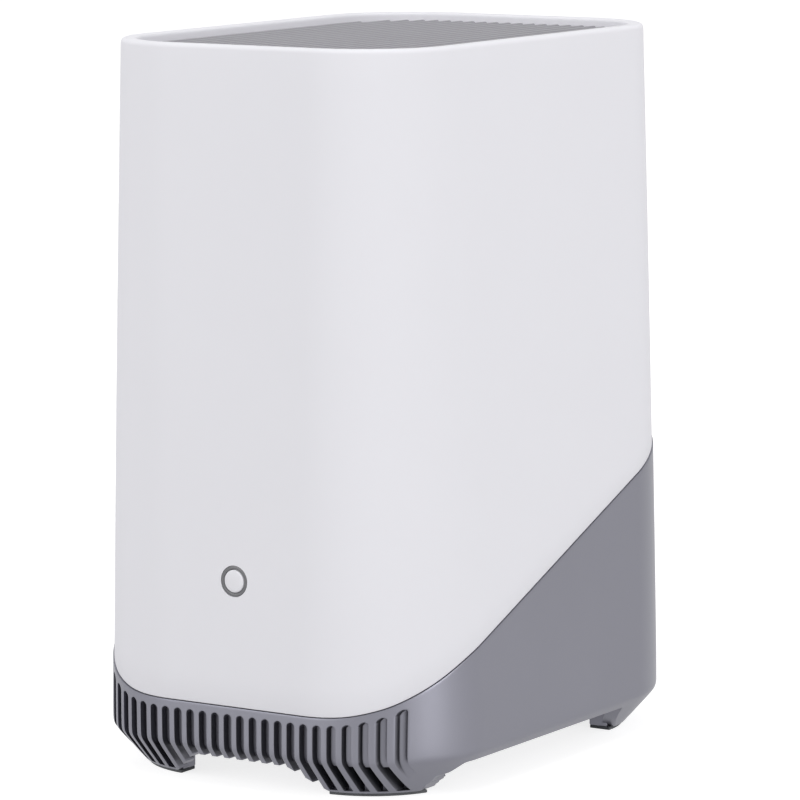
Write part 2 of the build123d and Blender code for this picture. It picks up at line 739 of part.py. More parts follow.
# Rear port panel, its flange behind the base shell's wall
panel_outer_y = face_y(panel_high) - panel_recess
panel_back_y = panel_outer_y - panel_thickness
panel_z = panel_low + panel_height / 2
button_axis_z = port_board_top + switch_side / 2
port_front_y = panel_outer_y - panel_gap
port_spots = (
    (power_x, power_width, power_height),
    (usb_x, usb_width, usb_height),
    (network_x, network_width, network_height),
)
with BuildPart() as port_panel:
    with BuildSketch(Plane.XZ.offset(-panel_outer_y)):
        with Locations((0, panel_z)):
            RectangleRounded(panel_width - 2 * panel_gap, panel_height - 2 * panel_gap, panel_corner - panel_gap)
    extrude(amount=panel_thickness)
    with BuildSketch(Plane.XZ.offset(-panel_back_y)):
        with Locations((0, panel_z)):
            RectangleRounded(panel_width + 2 * panel_flange, panel_height + 2 * panel_flange, panel_corner)
    extrude(amount=panel_flange_thickness)
    with BuildSketch(Plane.XZ.offset(-panel_outer_y - overrun)):
        for x, width, height in port_spots:
            with Locations((x, port_board_top + height / 2)):
                Rectangle(width + 2 * port_clearance, height + 2 * port_clearance)
        with Locations((sync_x, button_axis_z)):
            Circle(sync_button_radius + button_gap)
        with Locations((reset_x, button_axis_z)):
            Circle(reset_hole_radius)
    extrude(amount=panel_thickness + 3 * overrun, mode=Mode.SUBTRACT)
save(port_panel, "port_panel")


def port_body(x, width, height, depth):
    """Block that stands on the port board with its face in the panel."""
    with BuildPart() as body:
        with BuildSketch(Plane.XZ.offset(-port_front_y)):
            with Locations((x, port_board_top + height / 2)):
                Rectangle(width, height)
        extrude(amount=depth)
    return body.part


# Network socket with its keyway for the plug's latch
mouth_z = port_board_top + network_mouth_sill
with BuildPart() as network_socket:
    add(port_body(network_x, network_width, network_height, network_depth))
    with BuildSketch(Plane.XZ.offset(-port_front_y)):
        with Locations((network_x, mouth_z + network_mouth_height / 2)):
            Rectangle(network_mouth_width, network_mouth_height)
        with Locations((network_x, mouth_z + network_mouth_height + latch_slot_height / 2)):
            Rectangle(latch_slot_width, latch_slot_height)
    extrude(amount=network_mouth_depth, mode=Mode.SUBTRACT)
save(network_socket, "network_socket")

# USB socket: folded shell, and the tongue on its back block
with BuildPart() as usb_shell:
    add(port_body(usb_x, usb_width, usb_height, usb_depth))
    with BuildSketch(Plane.XZ.offset(-port_front_y)):
        with Locations((usb_x, port_board_top + usb_height / 2)):
            Rectangle(usb_width - 2 * usb_sheet, usb_height - 2 * usb_sheet)
    extrude(amount=usb_depth, mode=Mode.SUBTRACT)
save(usb_shell, "usb_shell")

with BuildPart() as usb_tongue:
    with BuildSketch(Plane.XZ.offset(-port_front_y + usb_depth - usb_back_block)):
        with Locations((usb_x, port_board_top + usb_height / 2)):
            Rectangle(usb_width - 2 * usb_sheet, usb_height - 2 * usb_sheet)
    extrude(amount=usb_back_block)
    with BuildSketch(Plane.XZ.offset(-port_front_y + tongue_setback)):
        with Locations((usb_x, port_board_top + usb_height / 2 + tongue_thickness / 2)):
            Rectangle(tongue_width, tongue_thickness)
    extrude(amount=usb_depth - tongue_setback - usb_back_block)
save(usb_tongue, "usb_tongue")

# Power jack with its centre pin
power_z = port_board_top + power_height / 2
with BuildPart() as power_jack:
    add(port_body(power_x, power_width, power_height, power_depth))
    jack_mouth = facing(power_x, port_front_y, power_z, FRONT)
    add(rod(jack_mouth, power_bore_radius, power_bore_depth), mode=Mode.SUBTRACT)
save(power_jack, "power_jack")

power_pin = BuildPart()
with power_pin:
    pin_foot = facing(power_x, port_front_y - power_bore_depth, power_z, BACK)
    add(rod(pin_foot, power_pin_radius, power_bore_depth - power_pin_setback))
    fillet(power_pin.faces().sort_by(Axis.Y)[-1].edges(), radius=power_pin_radius / 2)
save(power_pin, "power_pin")


def push_button(plane, radius, flange_radius, length):
    """Round button whose face lies on a plane, with a retaining flange at its inner end."""
    with BuildPart() as button:
        add(rod(plane, radius, length))
        fillet(button.faces().sort_by(Axis(plane.origin, plane.z_dir))[0].edges(), radius=button_gap)
        add(rod(plane.offset(length - flange_thickness), flange_radius, flange_thickness))
    return button


def tact_switch(plane, side, bore_radius):
    """Switch case whose front lies on a plane, with the bore that its plunger slides in."""
    with BuildPart() as switch:
        with BuildSketch(plane):
            Rectangle(side, side)
        extrude(amount=switch_depth)
        add(rod(plane, bore_radius, plunger_bore_depth), mode=Mode.SUBTRACT)
    return switch


def plunger(plane, radius):
    """Switch plunger whose tip lies on a plane."""
    with BuildPart() as piece:
        add(rod(plane, radius, plunger_length))
    return piece


# Front button, the ring-shaped light pipe round it and the board behind them
with BuildPart() as light_ring:
    ring_plane = facing(0, -front_face, front_button_z, BACK)
    add(rod(ring_plane, ring_radius, ring_length))
    inner_face = front_face - shell_wall - ring_flange_gap
    add(rod(facing(0, -inner_face, front_button_z, BACK), ring_flange_radius, ring_flange_thickness))
    add(rod(ring_plane, front_button_radius + button_gap, ring_length), mode=Mode.SUBTRACT)
save(light_ring, "light_ring")

front_button_length = front_button_proud + front_face + button_back
front_button_plane = facing(0, -front_face - front_button_proud, front_button_z, BACK)
front_button = push_button(front_button_plane, front_button_radius, front_button_flange, front_button_length)
save(front_button, "front_button")

front_plunger = plunger(facing(0, button_back + plunger_gap, front_button_z, BACK), plunger_radius)
save(front_plunger, "front_plunger")

front_switch_plane = facing(0, front_switch_front, front_button_z, BACK)
front_switch = tact_switch(front_switch_plane, switch_side, plunger_radius + button_gap)
save(front_switch, "front_switch")

with BuildPart() as front_board:
    with Locations((0, front_board_front + front_board_thickness / 2, front_button_z)):
        Box(front_board_width, front_board_thickness, front_board_height)
    board_hole = facing(0, front_board_front, front_screw_z, BACK)
    add(rod(board_hole, screw_shank + hole_gap, front_board_thickness), mode=Mode.SUBTRACT)
save(front_board, "front_board")

with BuildPart() as front_leds:
    with Locations(*[(sign * led_x, front_board_front - led_depth / 2, front_button_z) for sign in side_signs]):
        Box(led_width, led_depth, led_height)
save(front_leds, "front_leds")

# Sync button and reset switch behind the port panel
sync_back = panel_back_y - panel_flange_thickness - button_stop_gap - flange_thickness
sync_plane = facing(sync_x, panel_outer_y + sync_button_proud, button_axis_z, FRONT)
sync_length = panel_outer_y + sync_button_proud - sync_back
sync_button = push_button(sync_plane, sync_button_radius, sync_button_flange, sync_length)
save(sync_button, "sync_button")

sync_plunger_plane = facing(sync_x, sync_back - plunger_gap, button_axis_z, FRONT)
sync_plunger = plunger(sync_plunger_plane, plunger_radius)
save(sync_plunger, "sync_plunger")

sync_switch = tact_switch(sync_plunger_plane.offset(plunger_showing), switch_side, plunger_radius + button_gap)
save(sync_switch, "sync_switch")

reset_tip = panel_back_y - panel_flange_thickness - reset_plunger_gap
reset_plunger_plane = facing(reset_x, reset_tip, port_board_top + reset_side / 2, FRONT)
reset_plunger = plunger(reset_plunger_plane, reset_plunger_radius)
save(reset_plunger, "reset_plunger")

reset_switch = tact_switch(
    reset_plunger_plane.offset(plunger_showing), reset_side, reset_plunger_radius + button_gap
)
save(reset_switch, "reset_switch")

# Speaker box on the shelf, with its driver facing the top grille
speaker_y = shelf_back_y - speaker_setback
speaker_box_height = (grille_low - shelf_top) * speaker_box_height_share
box_top = shelf_top + speaker_box_height
basket_depth, magnet_height, cone_drop = [
    speaker_box_height * share for share in (basket_depth_share, magnet_height_share, cone_drop_share)
]
with BuildPart() as speaker_box:
    with BuildSketch(Plane.XY.offset(shelf_top)):
        with Locations((0, speaker_y)):
            RectangleRounded(speaker_box_side, speaker_box_side, speaker_box_corner)
    extrude(amount=speaker_box_height)
    with BuildSketch(Plane.XY.offset(shelf_top + speaker_box_wall)):
        with Locations((0, speaker_y)):
            RectangleRounded(
                speaker_box_side - 2 * speaker_box_wall,
                speaker_box_side - 2 * speaker_box_wall,
                speaker_box_corner - speaker_box_wall,
            )
    extrude(amount=speaker_box_height - 2 * speaker_box_wall, mode=Mode.SUBTRACT)
    driver_hole = facing(0, speaker_y, box_top, DOWN)
    add(rod(driver_hole, cone_radius + basket_wall + hole_gap, speaker_box_wall), mode=Mode.SUBTRACT)
save(speaker_box, "speaker_box")

with BuildPart() as speaker_basket:
    with BuildSketch(Plane.XZ.offset(-speaker_y)):
        with BuildLine():
            Polyline(
                (cone_radius, box_top + basket_rim_thickness),
                (speaker_radius, box_top + basket_rim_thickness),
                (speaker_radius, box_top),
                (cone_radius + basket_wall, box_top),
                (magnet_radius, box_top - basket_depth),
                (magnet_radius, box_top - basket_depth - magnet_height),
                (0, box_top - basket_depth - magnet_height),
                (0, box_top - basket_depth + basket_wall),
                (magnet_radius - basket_wall, box_top - basket_depth + basket_wall),
                (cone_radius, box_top),
                close=True,
            )
        make_face()
    revolve(axis=Axis((0, speaker_y, 0), UP))
save(speaker_basket, "speaker_basket")

with BuildPart() as speaker_cone:
    cone_top = box_top + basket_rim_thickness
    with BuildSketch(Plane.XZ.offset(-speaker_y)):
        with BuildLine():
            Polyline(
                (0, cone_top - cone_drop / 2),
                (cone_hub_radius, cone_top - cone_drop),
                (cone_radius - button_gap, cone_top),
                (cone_radius - button_gap, cone_top - cone_thickness),
                (cone_hub_radius, cone_top - cone_drop - cone_thickness),
                (0, cone_top - cone_drop / 2 - cone_thickness),
                close=True,
            )
        make_face()
    revolve(axis=Axis((0, speaker_y, 0), UP))
save(speaker_cone, "speaker_cone")

with BuildPart() as speaker_gasket:
    with BuildSketch(Plane.XY.offset(box_top + basket_rim_thickness)):
        with Locations((0, speaker_y)):
            Circle(speaker_radius)
            Circle(speaker_radius - gasket_width, mode=Mode.SUBTRACT)
    extrude(amount=gasket_thickness)
save(speaker_gasket, "speaker_gasket")

# Antennas, flat on the outside of the chassis walls
for side, sign in (("left", -1), ("right", 1)):
    with BuildPart() as antenna:
        with Locations((sign * (wall_outer + antenna_thickness / 2), antenna_y, antenna_z)):
            Box(antenna_thickness, antenna_depth, antenna_height)
    save(antenna, f"antenna_{side}")


def screws(places, shank_length):
    """Group of identical screws; each place is a plane under a head, facing along the shank."""
    with BuildPart() as group:
        for place in places:
            add(rod(place, screw_shank, shank_length))
            add(rod(place, screw_head, -screw_head_height))
    return group


base_screws = screws([facing(x, y, plate_low, UP) for x, y in base_screw_places], plate_thickness + boss_height)
save(base_screws, "base_screws")

board_screws = screws([facing(x, board_back, z, FRONT) for x, z in board_screw_places], board_thickness + bar_thickness)
save(board_screws, "board_screws")

port_places = [facing(sign * port_post_x, port_post_y, port_board_top, DOWN) for sign in side_signs]
port_screws = screws(port_places, board_thickness + boss_height)
save(port_screws, "port_screws")

cage_places = [facing(sign * wall_outer, cage_y, z, (-sign, 0, 0)) for sign, z in cage_screw_places]
cage_screws = screws(cage_places, chassis_wall + cage_sheet)
save(cage_screws, "cage_screws")

front_screw_length = front_board_thickness + front_bracket_thickness
front_screw = screws([facing(0, front_board_front, front_screw_z, BACK)], front_screw_length)
save(front_screw, "front_screw")


def lead(points, radius):
    """Round lead along a route of runs joined by arcs, as wide as the runs allow."""
    corners = [Vector(*point) for point in points]
    bends = []
    for before, corner, after in zip(corners, corners[1:], corners[2:]):
        turn = math.radians((corner - before).get_angle(after - corner))
        bends.append(bend_run_share * min((corner - before).length, (after - corner).length) / math.tan(turn / 2))
    with BuildPart() as tube:
        with BuildLine():
            route = FilletPolyline(*points, radius=bends)
        with BuildSketch(Plane(origin=route @ 0, z_dir=route % 0)):
            Circle(radius)
        sweep()
    print("lead of", round(route.length), "mm, bend radii", [round(bend, 1) for bend in bends])
    return tube


# Front board's cable, round the side of the drive cage to the back of the main board
cable_start_y = front_board_front - cable_radius
cable_end_y = board_back + cable_radius
cable_route = [(x, cable_start_y + y, z) for x, y, z in cable_front_route]
cable_route += [(x, cable_end_y + y, z) for x, y, z in cable_back_route]
front_cable = lead(cable_route, cable_radius)
save(front_cable, "front_cable")

# Antenna leads, from the back of the main board to the outer faces of the antennas
antenna_face = wall_outer + antenna_thickness + lead_radius
lead_start_y = board_back + lead_radius
end_y, end_rise = antenna_route_end
for side, sign in (("left", -1), ("right", 1)):
    places = [(sign * x, lead_start_y + y, antenna_z + rise) for x, y, rise in antenna_route]
    places.append((sign * antenna_face, lead_start_y + end_y, antenna_z + end_rise))
    save(lead(places, lead_radius), f"antenna_lead_{side}")
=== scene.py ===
# %% [markdown]
# A security camera base station stands on a shelf all day: a white plastic tower on a grey, slotted foot.
# The imported CAD model already knows every size, so we load it first and build the looks around it.

# %% Load the frame
import json
import math

import bmesh
import bpy
import numpy as np
from mathutils import Euler, Matrix, Vector


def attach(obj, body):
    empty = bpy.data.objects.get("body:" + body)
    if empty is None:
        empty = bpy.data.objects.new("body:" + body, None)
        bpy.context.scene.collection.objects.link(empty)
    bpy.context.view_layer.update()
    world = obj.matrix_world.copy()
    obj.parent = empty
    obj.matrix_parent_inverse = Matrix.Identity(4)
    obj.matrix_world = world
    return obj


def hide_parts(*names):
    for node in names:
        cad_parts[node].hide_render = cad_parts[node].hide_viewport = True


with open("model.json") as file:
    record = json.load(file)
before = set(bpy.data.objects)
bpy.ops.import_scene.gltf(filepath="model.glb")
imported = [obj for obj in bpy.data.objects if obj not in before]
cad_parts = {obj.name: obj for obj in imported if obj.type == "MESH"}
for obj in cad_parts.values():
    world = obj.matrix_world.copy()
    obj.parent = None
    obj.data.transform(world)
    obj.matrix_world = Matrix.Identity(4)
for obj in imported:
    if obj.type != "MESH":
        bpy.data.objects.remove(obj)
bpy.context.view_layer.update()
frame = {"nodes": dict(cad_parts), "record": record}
nodes = frame["nodes"]
MM = 0.001

# %% [markdown]
# The photograph was taken from the front right, a little above the station, through a long lens. A camera
# is a place, a direction and a focal length. We turn it by three angles: how far round, how high, and a
# small roll.

# %% Camera
CAMERA_PLACE = Vector((0.6240, -0.9709, 0.25305))
CAMERA_AROUND, CAMERA_HIGH, CAMERA_ROLL = math.radians(32.589), math.radians(8.281), math.radians(-0.182)
SENSOR_WIDTH = 36.0
FOCAL_PIXELS, PHOTO_PIXELS = 4731.16, 800

camera_data = bpy.data.cameras.new("camera")
camera_data.sensor_width = SENSOR_WIDTH
camera_data.lens = FOCAL_PIXELS / PHOTO_PIXELS * SENSOR_WIDTH
camera_data.clip_start, camera_data.clip_end = 0.05, 20.0
camera = bpy.data.objects.new("camera", camera_data)
bpy.context.scene.collection.objects.link(camera)
camera.location = CAMERA_PLACE
aimed = Euler((math.pi / 2 - CAMERA_HIGH, 0, CAMERA_AROUND)).to_matrix()
camera.rotation_euler = (aimed @ Matrix.Rotation(CAMERA_ROLL, 3, "Z")).to_euler()
bpy.context.scene.camera = camera
print("lens of", round(camera_data.lens, 1), "mm")

# %% [markdown]
# The body is a rounded rectangle that shrinks as it rises. One formula gives its outline at every height,
# so the white shell, the grey base and the grille all fit each other. We write it once, for whole arrays of
# points.

# %% The body's outline
STATION_HEIGHT, BEND_HEIGHT = 176.4, 9.6
BODY_WIDTH, BODY_DEPTH, BODY_CORNER = 101.6, 137.2, 31.7
TOP_WIDTH, TOP_DEPTH, TOP_CORNER = 89.6, 130.4, 24.4
BEVEL_SHARE, BEND_SOFTNESS = 0.9, 0.8
TUCK, BARREL = 0.4, 0.07
FRONT_FLAT = BODY_WIDTH / 2 - BODY_CORNER
SIDE_FLAT = BODY_DEPTH - 2 * BODY_CORNER
QUARTER = BODY_CORNER * math.pi / 2
HALF_ROUND = 2 * FRONT_FLAT + SIDE_FLAT + 2 * QUARTER


def stations(runs):
    """Where each column of the skin stands. A run is a distance in mm along the outline at the bend, from
    the middle of the front, positive to the right. Returns rows ax, ay (place on the flats, -1 to 1) and
    cx, cy (outward direction): on a flat only ax or ay moves, on a corner only the direction turns."""
    side, run = np.sign(runs) + (runs == 0), np.abs(runs)
    turn_front = np.clip((run - FRONT_FLAT) / BODY_CORNER, 0, math.pi / 2)
    turn_back = np.clip((run - FRONT_FLAT - QUARTER - SIDE_FLAT) / BODY_CORNER, 0, math.pi / 2)
    ax = np.clip(np.minimum(run, HALF_ROUND - run) / FRONT_FLAT, 0, 1) * side
    ay = np.clip((run - FRONT_FLAT - QUARTER) / SIDE_FLAT, 0, 1) * 2 - 1
    cx = side * np.sin(turn_front) * np.cos(turn_back)
    return np.array([ax, ay, cx, np.sin(turn_back) - np.cos(turn_front)])


def corner_at(z):
    """Share of the way from the bend to the top, the corner's radius there, and how far the bevel under the
    bend is drawn in: the slope times (t + sqrt(t^2 + e^2)) / 2, which turns softly instead of at a razor
    edge. The walls aren't quite straight either: a tuck (1-h)^3 near the bend and a barrel sin(pi h)
    between bend and top."""
    rise = np.clip((z - BEND_HEIGHT) / (STATION_HEIGHT - BEND_HEIGHT), 0, None)
    below = BEND_HEIGHT - z
    drawn_in = BEVEL_SHARE * (below + np.sqrt(below**2 + BEND_SOFTNESS**2)) / 2
    drawn_in = drawn_in + TUCK * np.clip(1 - rise, 0, 1) ** 3 - BARREL * np.sin(math.pi * np.clip(rise, 0, 1))
    return rise, BODY_CORNER + (TOP_CORNER - BODY_CORNER) * rise, drawn_in


def skin(columns, z, inset):
    """Points on the body at heights z, drawn in by an inset. With w, d and r the width, depth and corner
    radius at a height: x = ax (w/2 - r) + (r - inset) cx, and y likewise with d. The bevel draws r in."""
    ax, ay, cx, cy = columns
    rise, corner, drawn_in = corner_at(z)
    reach = corner - drawn_in - inset
    half_width = (BODY_WIDTH + (TOP_WIDTH - BODY_WIDTH) * rise) / 2
    half_depth = (BODY_DEPTH + (TOP_DEPTH - BODY_DEPTH) * rise) / 2
    x = ax * (half_width - corner) + reach * cx
    y = ay * (half_depth - corner) + reach * cy
    return np.stack(np.broadcast_arrays(x, y, z), -1)


print("once round the body at the bend:", round(2 * HALF_ROUND), "mm")

# %% [markdown]
# The seam between white and grey is level at the front, then climbs along both sides in a long swoosh to
# the back. It is a line of straight runs with rounded knees. A knee is nearly an arc, and a short quadratic
# curve between two points on its runs is close enough that nobody sees the difference.

# %% Rounded lines, and the seam
SEAM_LOW, SEAM_HIGH = 20.0, 74.1
SEAM_DEPTHS = BODY_DEPTH / 2 * np.array([-0.985, -0.888, -0.638, 0.867])
SEAM_HEIGHTS = SEAM_LOW + (SEAM_HIGH - SEAM_LOW) * np.array([0.0, 0.057, 0.237, 1.0])
SEAM_ROUNDS = (12.0, 30.0, 60.0, 30.0)
KNEE_STEPS = np.linspace(0, 1, 13)[:, None]
SETTLE_STEPS, SETTLE_SHARE = 200, 0.1


def rounded_line(points, rounds):
    """A polyline with its inner corners rounded. At a knee with half turn h, the curve leaves the runs at R
    tan(h) from the corner, and follows (1-t)^2 a + 2 t (1-t) corner + t^2 b."""
    points = np.asarray(points, float)
    parts = [points[:1]]
    for before, knee, after, radius in zip(points, points[1:], points[2:], rounds):
        back, on = before - knee, after - knee
        back, on = back / np.linalg.norm(back), on / np.linalg.norm(on)
        half_turn = (math.pi - math.acos(np.clip(back @ on, -1, 1))) / 2
        a, b = knee + back * radius * math.tan(half_turn), knee + on * radius * math.tan(half_turn)
        parts.append((1 - KNEE_STEPS) ** 2 * a + 2 * KNEE_STEPS * (1 - KNEE_STEPS) * knee + KNEE_STEPS**2 * b)
    return np.concatenate(parts + [points[-1:]])


seam_points = np.column_stack((SEAM_DEPTHS, SEAM_HEIGHTS))
seam_ends = [(-BODY_DEPTH, SEAM_LOW)], [(BODY_DEPTH, SEAM_HIGH)]
seam_line = rounded_line(np.concatenate((seam_ends[0], seam_points, seam_ends[1])), SEAM_ROUNDS)


def settled(count, points_at, height_at, start):
    """Height of a line that is drawn on the skin. The height depends on x and y and they depend on the
    height again, so we start from a guess and take many small steps towards the answer. Whole steps would
    overshoot where the skin leans more than the line does."""
    z = np.full(count, start)
    for _ in range(SETTLE_STEPS):
        x, y, _z = points_at(z).T
        z = z + (height_at(x, y) - z) * SETTLE_SHARE
    return z


def seam_at(x, y):
    """Height of the seam at a place: it only depends on how far back that is."""
    return np.interp(y, *seam_line.T)


print("seam climbs from", SEAM_LOW, "to", SEAM_HIGH, "mm")

# %% [markdown]
# Both shells are thick sheets. We compute an outer and an inner grid of points and let a helper join them:
# quads on both faces, and a strip wherever a cell of the sheet ends. Cells that we leave out become real
# openings, with walls as thick as the sheet. That is cleaner than cutting holes afterwards.

# %% From grids to meshes
SHARP_ANGLE = math.radians(38)
WELD_DISTANCE = 1e-7


def signed_volume(points, faces):
    """Sum of the tetrahedra from the origin to each face's two triangles: negative when faces point
    inwards."""
    a, b, c, d = (points[faces[:, k]] for k in range(4))
    return float(np.sum(np.cross(a, b) * c) + np.sum(np.cross(a, c) * d)) / 6


def solid_mesh(name, points, faces):
    """Object from an array of points in mm and quads, in metres, with its faces pointing outwards."""
    if signed_volume(points, faces) < 0:
        faces = faces[:, ::-1]
    mesh = bpy.data.meshes.new(name)
    mesh.from_pydata((points * MM).tolist(), [], faces.tolist())
    mesh.validate()
    mesh.shade_smooth()
    mesh.set_sharp_from_angle(angle=SHARP_ANGLE)
    piece = bpy.data.objects.new(name, mesh)
    bpy.context.scene.collection.objects.link(piece)
    return piece


def thick_sheet(outer, inner, kept):
    """Points and quads of a sheet between two grids (rows, columns), closed round in its columns. An edge
    between a kept cell and a missing one, or at the first or last row, gets a strip from the outer to the
    inner grid."""
    rows, count = outer.shape[:2]
    ids = np.arange(rows * count).reshape(rows, count)
    right = np.roll(ids, -1, 1)
    cell = np.stack((ids[:-1], right[:-1], right[1:], ids[1:]), -1)
    offset = rows * count
    faces = [cell[kept], cell[kept][:, ::-1] + offset]
    left_kept = np.roll(kept, 1, 1)
    for starts, side in ((kept & ~left_kept, 1), (~kept & left_kept, -1)):
        r, c = np.nonzero(starts)
        wall = np.stack((ids[r, c], ids[r + 1, c], ids[r + 1, c] + offset, ids[r, c] + offset), -1)
        faces.append(wall[:, ::side])
    padded = np.pad(kept, ((1, 1), (0, 0)))
    for starts, side in ((padded[1:] & ~padded[:-1], -1), (~padded[1:] & padded[:-1], 1)):
        r, c = np.nonzero(starts)
        strip = np.stack((ids[r, c], right[r, c], right[r, c] + offset, ids[r, c] + offset), -1)
        faces.append(strip[:, ::side])
    return np.concatenate((outer.reshape(-1, 3), inner.reshape(-1, 3))), np.concatenate(faces)


def welded(piece):
    """Merges the points that lie on each other, where a grid ends in a pole, and drops the faces lost by
    that."""
    work = bmesh.new()
    work.from_mesh(piece.data)
    bmesh.ops.remove_doubles(work, verts=work.verts, dist=WELD_DISTANCE)
    bmesh.ops.recalc_face_normals(work, faces=work.faces)
    work.to_mesh(piece.data)
    work.free()
    piece.data.shade_smooth()
    piece.data.set_sharp_from_angle(angle=SHARP_ANGLE)
    return piece


def cut_with(piece, cutter):
    """Cuts one closed piece with another by an exact Boolean, and removes the cutter."""
    step = piece.modifiers.new("cut", "BOOLEAN")
    step.operation, step.solver, step.object = "DIFFERENCE", "EXACT", cutter
    done = bpy.data.meshes.new_from_object(piece.evaluated_get(bpy.context.evaluated_depsgraph_get()))
    piece.modifiers.clear()
    piece.data = done
    done.name = piece.name
    done.shade_smooth()
    done.set_sharp_from_angle(angle=SHARP_ANGLE)
    bpy.data.objects.remove(cutter)


def count_of(piece):
    """Says how large a finished piece is."""
    print(piece.name, "has", len(piece.data.polygons), "faces")


# %% [markdown]
# The white outer shell is one injection moulding: a tall sleeve with a thick rim, rounded like a bead so
# that a hand meets no edge. Only the last few rows of the grid bend over the rim; the long walls are nearly
# straight, and need few rows. The lower edge follows the seam, so each column starts at its own height.

# %% White outer shell
SHELL_WALL, RIM_WIDTH, RIM_DEPTH = 2.2, 3.9, 4.6
RIM_OUTER_ROUND, RIM_INNER_ROUND, RIM_CROWN = 1.3, 1.0, 0.1
OUTER_STEPS, INNER_STEPS, RIM_POWER = 9, 7, 2.3
EDGE_ROUND = 0.12
SHELL_COLUMNS, WALL_ROWS = 360, 22
shell_columns = stations(np.linspace(-HALF_ROUND, HALF_ROUND, SHELL_COLUMNS, endpoint=False))
shell_seam = settled(len(shell_columns[0]), lambda z: skin(shell_columns, z, 0), seam_at, SEAM_LOW)


def quarter(start, corner, stop, steps):
    """Rounds a profile's corner between two of its points. With c = start + stop - corner, a point is c +
    (start - c) cos^(2/n) t + (stop - c) sin^(2/n) t: a superellipse of power n, a little fuller than a
    circle, as a moulder's edge is."""
    t = np.linspace(0, math.pi / 2, steps)
    start, corner, stop = np.array(start, float), np.array(corner, float), np.array(stop, float)
    middle = start + stop - corner
    power = 2 / RIM_POWER
    return middle + np.outer(np.cos(t) ** power, start - middle) + np.outer(np.sin(t) ** power, stop - middle)


wall_share = np.linspace(0, 1, WALL_ROWS + 2)[1:-1]
rim_side = STATION_HEIGHT - RIM_OUTER_ROUND
outer_rim = quarter((0, rim_side), (0, STATION_HEIGHT), (RIM_OUTER_ROUND, STATION_HEIGHT), OUTER_STEPS)
inner_rim = quarter(
    (RIM_WIDTH, STATION_HEIGHT - RIM_INNER_ROUND),
    (RIM_WIDTH, STATION_HEIGHT),
    (RIM_WIDTH - RIM_INNER_ROUND, STATION_HEIGHT - RIM_CROWN),
    INNER_STEPS,
)
rim_low = STATION_HEIGHT - RIM_DEPTH
wall_low = shell_seam + EDGE_ROUND
outside = [(EDGE_ROUND, shell_seam), (EDGE_ROUND / 4, shell_seam + EDGE_ROUND / 4), (0, wall_low)]
outside += [(0, wall_low + (rim_side - wall_low) * share) for share in wall_share]
outside += [(inset, np.full_like(shell_seam, z)) for inset, z in outer_rim]
inner_share = np.linspace(0, 1, len(outside) - len(inner_rim) - 1)
inside = [(SHELL_WALL, shell_seam + (rim_low - shell_seam) * share) for share in inner_share]
inside += [(RIM_WIDTH, np.full_like(shell_seam, rim_low))]
inside += [(inset, np.full_like(shell_seam, z)) for inset, z in inner_rim]
outer_grid = np.stack([skin(shell_columns, z, inset) for inset, z in outside])
inner_grid = np.stack([skin(shell_columns, z, inset) for inset, z in inside])
shell_cells = np.ones((len(outside) - 1, len(shell_seam)), bool)
outer_shell = solid_mesh("outer_shell_skin", *thick_sheet(outer_grid, inner_grid, shell_cells))
count_of(outer_shell)

# %% [markdown]
# The button on the front sits in a round hole, with a ring-shaped light pipe round it. The hole lies in the
# flat part of the front, where a Boolean leaves clean shading, so we cut it with a turned cylinder. Turning
# a profile about an axis is our tool for every round piece here.

# %% Turned pieces, and the hole for the button
BUTTON_HEIGHT = 50.3
RING_RADIUS, RING_INNER, BUTTON_RADIUS = 3.7, 2.83, 2.75
HOLE_CLEARANCE, HOLE_REACH = 0.06, 6.0
CIRCLE_QUARTER = 18
FRONT_Y = float(skin(stations(np.zeros(1)), np.full(1, BUTTON_HEIGHT), 0)[0, 1])


def wrapped(rows, count):
    """Quads of a grid of points that is closed both ways."""
    ids = np.arange(rows * count).reshape(rows, count)
    down, right = np.roll(ids, -1, 0), np.roll(ids, -1, 1)
    return np.stack((ids, right, np.roll(right, -1, 0), down), -1).reshape(-1, 4)


turn = np.linspace(0, 2 * math.pi, 4 * CIRCLE_QUARTER, endpoint=False)
CIRCLE = np.stack((np.cos(turn), np.sin(turn)), -1)


def turned(name, profile, x, z, section=CIRCLE):
    """Closed profile of (radius, y) points carried round the line through x and z that runs along Y: with a
    section's point (a, b), which is (cos t, sin t) on a circle, a point is (x + r a, y, z + r b)."""
    profile = np.asarray(profile, float)
    radius, y = profile[:, 0][:, None], profile[:, 1][:, None]
    points = np.stack(np.broadcast_arrays(x + radius * section[:, 0], y, z + radius * section[:, 1]), -1)
    piece = solid_mesh(name, points.reshape(-1, 3), wrapped(*points.shape[:2]))
    return welded(piece)


hole_shape = [(0, -HOLE_REACH), (1, -HOLE_REACH), (1, HOLE_REACH), (0, HOLE_REACH)]
hole_profile = [(share * (RING_RADIUS + HOLE_CLEARANCE), FRONT_Y + y) for share, y in hole_shape]
cut_with(outer_shell, turned("hole", hole_profile, 0, BUTTON_HEIGHT))
count_of(outer_shell)

# %% [markdown]
# The grey base is the showpiece: a skirt with twenty-four cooling slots. Every slot is cut straight back,
# so its walls are upright planes that face sideways, on the rounded corners too. We put columns of points
# exactly on those planes, with more of them at the slots' edges, so that the walls come out straight.

